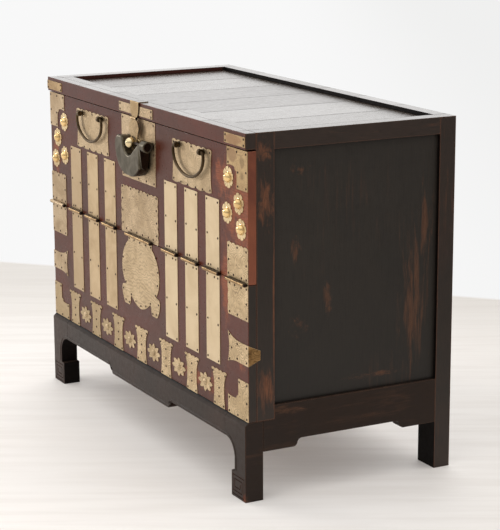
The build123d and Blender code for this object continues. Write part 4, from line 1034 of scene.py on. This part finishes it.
wrap = wrap_sheet()
settle("wrap_sheet_left", twin(wrap, flip=True), left_tarnished_shaded_brass, "case", "sheet_brass", "wrap_plate_left")
settle("wrap_sheet_right", wrap, graved_brass, "case", "sheet_brass", "wrap_plate_right")
# Painted shade: the wrap's faces that turn to the side take the much darker brass.
face_finish(wrap, folded_brass, sideways)
nails["case"] += mirrored((427, 333), (427, 282), (460, 320), (460, 290), (500, 320), (500, 290), (436, 307))

# Flowers and waisted plates


def petal_ring(x, z, wide, high, valley, point, turn=0.0, count=8):
    """Petals round an oval. A petal is two bows that meet at its tip, so that a low point makes it sharp."""
    ring = []
    step = 2 * pi / count
    for i in range(count):
        angles = [(i + share) * step + turn for share in (-0.5, 0, 0.5)]
        a, b, c = [(x + wide * reach * cos(angle), z + high * reach * sin(angle))
                   for angle, reach in zip(angles, (valley, 1, valley))]
        if i == 0:
            ring.append(a)
        rise = -point * hypot(b[0] - a[0], b[1] - a[1])
        ring += bow(a, b, rise, 4) + bow(b, c, rise, 4)
    return ring[:-1]


def dome(radius, height, centre, steps=24, collar=1.0):
    """A raised boss: a collar, then a quarter-round."""
    inner = radius * 0.92
    profile = [(0, 0), (0, radius), (collar * 0.6, radius), (collar, inner)]
    profile += [(collar + (height - collar) * sin(radians(t)), inner * cos(radians(t)))
                for t in (18, 36, 52, 66, 78)] + [(height, 0)]
    return turned("boss", profile, centre, "y", steps, 50)


flower_places = {"left": [(-421, 651), (-463, 609), (-422, 571), (-476, 557)],
                 "right": [(424, 652), (468, 606), (419, 580), (478, 556)]}
drawn_at = 600
flower = plate("flower", petal_ring(0, drawn_at, 21.5, 21.5, 0.76, 0.34, 0.2), rim=0.5)
boss = dome(11.4, 8.5, spot(0, drawn_at, SHEET))
for hand, places in flower_places.items():
    sheets = [twin(flower, (x, 0, z - drawn_at)) for x, z in places]
    bosses = [twin(boss, (x, 0, z - drawn_at)) for x, z in places]
    settle(f"flower_sheets_{hand}", join("sheets", sheets), petal_brass, "door", "sheet_brass",
           f"door_flowers_{hand}")
    settle(f"flower_bosses_{hand}", join("bosses", bosses), bright_brass, "door", "sheet_brass")
bpy.data.objects.remove(flower)
bpy.data.objects.remove(boss)

between, flower_line = PITCH / 2, STAND_TOP + 37
steps = [i * PITCH for i in (-3, -2, -1, 1, 2)]
flower = plate("base_flower", petal_ring(between, flower_line, 33, 20.5, 0.62, 0.12), rim=0.4)
boss = dome(7.5, 3.8, spot(between, flower_line, SHEET), 20, 0.6)
settle("base_flower_sheets", join("sheets", row([flower], steps)), graved_brass, "case", "sheet_brass",
       "base_flowers")
settle("base_flower_bosses", join("bosses", row([boss], steps)), handle_brass, "case", "sheet_brass")

base = STAND_TOP + 0.5
crown, waist_half, foot_half = 34.5, 22, 25
ring = path((crown, base + 76), ((waist_half, base + 45.8), -3.2, 5), ((waist_half, base + 22),),
            ((foot_half, base), 0.6, 3), ((-foot_half, base),), ((-waist_half, base + 22), 0.6, 3),
            ((-waist_half, base + 45.8),), ((-crown, base + 76), -3.2, 5))
ring += scallops((-crown, base + 76), (crown, base + 76), 4)[:-1]
sheets = row([plate("waisted", ring)], steps + [3 * PITCH])
settle("base_waisted_sheets", join("sheets", sheets), graved_brass, "case", "sheet_brass",
       "base_waisted_plates")
for x in (i * PITCH for i in range(-3, 4)):
    nails["case"] += [(x - 27, base + 71), (x + 27, base + 71), (x, base + 60), (x, base + 40),
                      (x, base + 22), (x - 19, base + 5), (x + 19, base + 5)]

# Bail handles


def bail_wire(place):
    """A round wire drawn through its bends, from one eye round to the other."""
    shoulder, sweep, drop = 32, 55, -10
    clear()
    bpy.ops.mesh.primitive_circle_add(vertices=12, radius=0.0032, fill_type="NGON")
    bail = begin("bail")
    # With no window a turn goes the other way round, which a round section doesn't mind
    bpy.ops.transform.rotate(value=pi / 2, orient_axis="Y", center_override=(0, 0, 0))
    bpy.ops.transform.translate(value=spot(place + 50, BAIL_LINE, BAIL_PROUD))

    def turn(x, z, angle, steps):
        bpy.ops.mesh.spin(steps=steps, angle=-radians(angle), axis=(0, 1, 0),
                          center=spot(place + x, BAIL_LINE + z, BAIL_PROUD))

    pull(mm(10, 0, 0))
    turn(60, drop, 90, 7)
    turn(shoulder, drop, sweep, 6)
    turn(0, drop + shoulder * tan(radians(sweep)), 70, 12)
    turn(-shoulder, drop, sweep, 6)
    turn(-60, drop, 90, 7)
    pull(mm(10, 0, 0))
    knit()
    return shut(bail, 60)


def post(x):
    """An eye that holds the bail, on a neck and a base ring, with its legs clenched inside the door."""
    section = [(-4.5, 3.5), (-4.5, 5.3), (-3.4, 6.5), (3.4, 6.5), (4.5, 5.3), (4.5, 3.5), (-4.5, 3.5)]
    eye = turned("eye", section, spot(x, BAIL_LINE, BAIL_PROUD), "x", 20)
    neck = turned("neck", [(0, 0), (0, 6.8), (0.9, 6.6), (1.6, 4.6), (3.2, 3.4), (3.2, 0)],
                  spot(x, BAIL_LINE, SHEET), "y", 20)
    thick, inside = (x - 2.6, x + 2.6), (FACE + 18.1, FACE + 19.7)
    shank = bar("shank", [thick, (FACE, FACE + 19), (684.4, 689.6)], 0.4)
    leg_up = bar("leg", [thick, inside, (684.4, 696)], 0.4)
    leg_down = bar("leg", [thick, inside, (678, 689.6)], 0.4)
    return [eye, neck, shank, leg_up, leg_down]


for place, hand in ((-251, "left"), (261, "right")):
    start, end = place - 91, place + 91
    low, high = 605 + LOBE, 696 - LOBE
    ring = ([(start, low)] + bow((start, low), (start, high), -4, 6)
            + scallops((start, high), (end, high), 8) + bow((end, high), (end, low), -4, 6)
            + scallops((end, low), (start, low), 5, 3.4)[:-1])
    settle(f"handle_sheet_{hand}", plate("handle", ring), handle_brass, "door", "sheet_brass",
           f"handle_plate_{hand}")
    settle(f"handle_eyes_{hand}", join("eyes", post(place - 56) + post(place + 56)), bronze_and_shade, "door",
           "cast_brass", f"handle_posts_{hand}")
    settle(f"bail_wire_{hand}", bail_wire(place), bronze_and_shade, f"bail_{hand}", "cast_brass", f"bail_{hand}")
    nails["door"] += [(place + x, z) for x, z in ((-84, 689), (84, 689), (0, 690), (-84, 612), (84, 612),
                                                  (-50, 609), (-18, 608), (18, 608), (50, 609))]

# Lock

settle("lock_sheet", plate("lock_sheet", box_ring(-86.5, 86.5, DOOR_TOP - 138.5, DOOR_TOP)), middle_brass,
       "door", "sheet_brass", "lock_plate")
nails["door"] += [(x, z) for x in (-79, 79) for z in (708, 645, 582)] + [(0, 582), (-40, 582), (40, 582)]


def ball_staple():
    """A bored ball on a neck, with its tail clenched through a square washer."""
    ball = turned("ball", [(11.5 * sin(radians(t)), 11.5 * cos(radians(t))) for t in range(-90, 91, 12)],
                  spot(0, LOCK_LINE, 19.5), "y", 32, 60)
    neck = turned("neck", [(0, 0), (0, 9), (1.4, 8.6), (2.4, 5.6), (9, 4.8), (12, 4.8), (12, 0)],
                  spot(0, LOCK_LINE, SHEET), "y", 24)
    for part in (ball, neck):
        cut_out(part, turned("bore", rod(-20, 20, 3.5), spot(0, LOCK_LINE, LOCK_PROUD), "x", 24))
    tail = bar("tail", [(-4, 4), (FACE, FACE + 19.4), (LOCK_LINE - 4, LOCK_LINE + 4)], 0.5)
    washer = bar("washer", [(-13, 13), (FACE + 18.1, FACE + 19.7), (LOCK_LINE - 13, LOCK_LINE + 13)], 0.5)
    return join("ball_staple", [ball, neck, tail, washer])


settle("ball_staple", ball_staple(), ball_brass, "door", "cast_brass", "lock_staple")


def hasp_strap_piece():
    """A sheet that lies on the top, folds over the rail's edge and narrows to its knuckles."""
    fold = 750
    ring = path((21, fold), ((-21, fold),), ((-21, 738),), ((-12, 717.5), -2, 4), ((-12, 715.5),),
                ((12, 715.5),), ((12, 717.5),), ((21, 738), -2, 4))
    sheet = block("hasp_fold", [spot(x, z, 7) for x, z in ring], mm(0, -2, 0))
    knit()
    # The upper edge folds back over the top
    pick("DESELECT", "FACE")
    edit(False)
    for face in sheet.data.polygons:
        face.select = abs(face.center.z - fold * 0.001) < 0.00001 and abs(face.normal.z) > 0.9
    edit()
    bpy.ops.mesh.spin(steps=5, angle=pi / 2, center=spot(0, fold, 7), axis=(1, 0, 0))
    pull(mm(0, 22, 0))
    knit()
    shut(sheet)
    parts = [sheet] + [turned("hasp_knuckle", rod(0, 6.6, 3, 0.3), mm(start, FACE - HASP_PROUD, HASP_LINE),
                              "x", 18) for start in (-12, 5.4)]
    return join("hasp_strap_sheet", parts)


hasp_strap = settle("hasp_strap_sheet", hasp_strap_piece(), gold_brass, "case", "cast_brass", "hasp_strap")
face_finish(hasp_strap, top_lacquer, upward)
# Painted shadow: the strap's faces that turn to the right, below the fold, go near black.
face_finish(hasp_strap, pin_and_shade_iron, lambda face: face.normal.x > 0.6 and face.center.z < 0.7495)
pin = turned("hasp_pin_rod", rod(-12, 12, 1.2, 0.2), spot(0, HASP_LINE, HASP_PROUD), "x", 12)
settle("hasp_pin_rod", pin, bronze_and_shade, "hasp", "cast_brass", "hasp_pin")


def hasp_tongue_piece():
    """A shaped leaf that hangs from its own knuckle, with an oval hole for the ball."""
    right = path((5, 712), ((12, 711.6),), ((25, 693), 3.5, 6), ((18, 675), -1.2, 4), ((20, 660.5), -0.8, 3),
                 ((0, 640.5), 5.86, 8))
    ring = right + [(-x, z) for x, z in reversed(right[:-1])]
    tongue = plate("tongue", ring, 9, 2, rim=0.5)
    across, tall = 12.5, 14
    hole = path((across, LOCK_LINE), ((0, LOCK_LINE + tall), -5, 6), ((-across, LOCK_LINE), -5, 6),
                ((0, LOCK_LINE - tall), -5, 6), ((across, LOCK_LINE), -5, 6))[1:]
    cut_out(tongue, plate("hole", hole, 7, 6, rim=0))
    roll = turned("roll", rod(-4.9, 4.9, 3, 0.3), spot(0, HASP_LINE, HASP_PROUD), "x", 18)
    web = bar("web", [(-4.8, 4.8), (FACE - 11, FACE - 9), (711.5, 714.5)], 0.2, 1)
    return join("hasp_tongue_sheet", [tongue, roll, web])


tongue = settle("hasp_tongue_sheet", hasp_tongue_piece(), tongue_brass, "hasp", "cast_brass", "hasp_tongue")
# Painted shadow: the tongue's faces that turn to the right go near black.
face_finish(tongue, pin_and_shade_iron, lambda face: face.normal.x > 0.6)

ROD_DROP = 42  # from the padlock's bar down to its sprung rod


def padlock_piece():
    """A deep-bellied casting with a horn on the left, a round notch for the ball and a sloping cheek."""
    line, left, right, deep, notch = LOCK_LINE, 67, 58, 71, 27
    slope = radians(35)
    out = (notch * sin(slope), line - notch * cos(slope))
    cheek = (right, out[1] + (right - out[0]) * tan(slope))
    ring = path((right, line - 0.7 * deep), ((0, line - deep), 8.4, 9),
                ((-left, line - 0.2 * deep), 19.5, 14), ((-left + 12, line + 11), 5.1, 8),
                ((-38, line + 11),), ((-notch, line), 2.6, 5), ((0, line - notch), -7.9, 9),
                (out, -1.25, 5), (cheek,))
    body = block("padlock", [spot(x, z, 3) for x, z in ring], mm(0, -24, 0))
    knit()
    shut(body)
    edit()
    pick("DESELECT", "EDGE")
    edit(False)
    points = body.data.vertices
    for edge in body.data.edges:
        a, b = (points[i].co for i in edge.vertices)
        edge.select = abs(a.y - b.y) < 0.00001
    edit()
    bevel(3.4, 4)
    knit()
    shut(body, 40)
    for radius, start, drop, steps in ((3.5, -62, 0, 20), (8.5, -33, ROD_DROP, 28)):
        cut_out(body, turned("bore", rod(start, 70, radius), spot(0, line - drop, LOCK_PROUD), "x", steps))
    keyhole = [(-80, -28), (FACE - 17.5, FACE - 12.5), (line - 48, line - 36)]
    return cut_out(body, bar("keyhole", keyhole, 0))


padlock = settle("padlock_casting", padlock_piece(), padlock_iron, "padlock", "padlock_iron", "padlock_body")
# Painted shade: the underside of the padlock's right half goes near black.
face_finish(padlock, pin_and_shade_iron, lambda face: face.normal.z < -0.3 and face.center.x > 0.004)


def shackle_piece():
    """The bar and the sprung rod on one end plate, with a round lobe on the bar's line."""
    foot, end = LOCK_LINE - ROD_DROP, 58.6
    ring = path((-12.4, LOCK_LINE), ((-8, foot),), ((8, foot), -7.9, 8), ((12.4, LOCK_LINE),))
    ring = [mm(end, FACE - LOCK_PROUD + y, z) for y, z in ring]
    end_plate = slab("end_plate", ring, mm(4.4, 0, 0), rim=0.8)
    profile = [(0, 0), (0, 11.4), (1, 12.4), (20.4, 12.4), (22, 11), (22, 9), (20.4, 8.2), (20.4, 0)]
    lobe = turned("lobe", profile, mm(end, FACE - LOCK_PROUD, LOCK_LINE), "x", 36)
    lock_bar = turned("bar", [(-60, 0), (-60, 2.6), (-59.4, 3.2), (60, 3.2), (60, 0)],
                      spot(0, LOCK_LINE, LOCK_PROUD), "x", 20)
    sprung_rod = turned("rod", rod(-28, 60, 3), spot(0, foot, LOCK_PROUD), "x", 20)
    springs = []
    for side in (-1, 1):
        low, high, leaf = foot + side * 1.5, foot + side * 5.1, side
        points = [(-27, low), (17, high), (17, high + leaf), (-27, low + leaf)]
        springs.append(slab("spring", [spot(x, z, 12) for x, z in points], mm(0, -6, 0), rim=0.1))
    return join("padlock_bar", [end_plate, lobe, lock_bar, sprung_rod] + springs)


shackle = settle("padlock_bar", shackle_piece(), padlock_iron, "shackle", "padlock_iron", "padlock_shackle")
# Painted shade: the bar, the sprung rod and its springs go near black, as do the right-facing faces at its
# end.
face_finish(shackle, pin_and_shade_iron,
            lambda face: face.normal.x > 0.9 and face.center.x < 0.0795 or face.center.x < 0.05)

# Nails


def nail_row(name, body, places, proud=SHEET):
    """Small domed heads, one after another, each a copy of the last."""
    heads = turned(name, [(0, 0), (0, 2.6), (0.7, 2.1), (1.2, 0)], spot(*places[0], proud), "y", 8, 50)
    hold(heads)
    edit()
    pick()
    for (x0, z0), (x1, z1) in zip(places, places[1:]):
        bpy.ops.mesh.duplicate_move(TRANSFORM_OT_translate={"value": mm(x1 - x0, 0, z1 - z0)})
    edit(False)
    settle(name, heads, nail_iron, body, "cast_brass")


nail_row("door_nails", "door", nails["door"])
nail_row("case_nails", "case", nails["case"])
nail_row("rail_nails", "case", nails["rail"], RAIL_PROUD + SHEET)

# Room, light and camera

clear()
bpy.ops.mesh.primitive_plane_add(size=60)
floor = bpy.context.object
floor.name = "floor"
floor.data.materials.append(pale_floor())

# The room is brighter overhead and behind the chest, and darker on its right
scene = bpy.context.scene
scene.world = bpy.data.worlds.new("studio")
scene.world.use_nodes = True
sky = scene.world.node_tree
way = wire(sky, "ShaderNodeTexCoord", give="Generated")
behind, toward = way.vector("DOT_PRODUCT", (-0.86, 0.455, 0.22)), way.vector("DOT_PRODUCT", (0.95, -0.3, 0))
level = way.split()[2].spread(0.0, 0.9, 0.55, 1.6) * toward.spread(0.1, 0.9, 1.0, 0.62)
feed(sky, sky.nodes["Background"].inputs, {"Color": (0.99, 0.985, 0.98),
                                           "Strength": level + behind.spread(0.55, 0.95, 0.0, 0.4)})

lamp = bpy.data.lights.new("window", "AREA")
lamp.size = 0.6
lamp.energy = 60
lamp.color = (1.0, 0.975, 0.94)
light = bpy.data.objects.new("window", lamp)
light.location = (-5.0, -3.1, 1.6)
light.rotation_euler = (Vector((0, -0.2, 0.4)) - light.location).to_track_quat("-Z", "Y").to_euler()
scene.collection.objects.link(light)

lens = bpy.data.cameras.new("camera")
lens.sensor_fit = "VERTICAL"
lens.sensor_height = 24
lens.lens = 83.71
camera = bpy.data.objects.new("camera", lens)
azimuth, elevation, roll = radians(62.10), radians(12.96), radians(-0.21)
ahead = Vector((-sin(azimuth) * cos(elevation), cos(azimuth) * cos(elevation), -sin(elevation)))
right = ahead.cross(Vector((0, 0, 1))).normalized()
up = right.cross(ahead)
right, up = cos(roll) * right + sin(roll) * up, cos(roll) * up - sin(roll) * right
camera.matrix_world = Matrix((
    (right.x, up.x, -ahead.x, 3.615),
    (right.y, up.y, -ahead.y, -1.867),
    (right.z, up.z, -ahead.z, 1.300),
    (0, 0, 0, 1),
))
scene.collection.objects.link(camera)
scene.camera = camera
scene.view_settings.view_transform = "Standard"

bpy.context.view_layer.update()
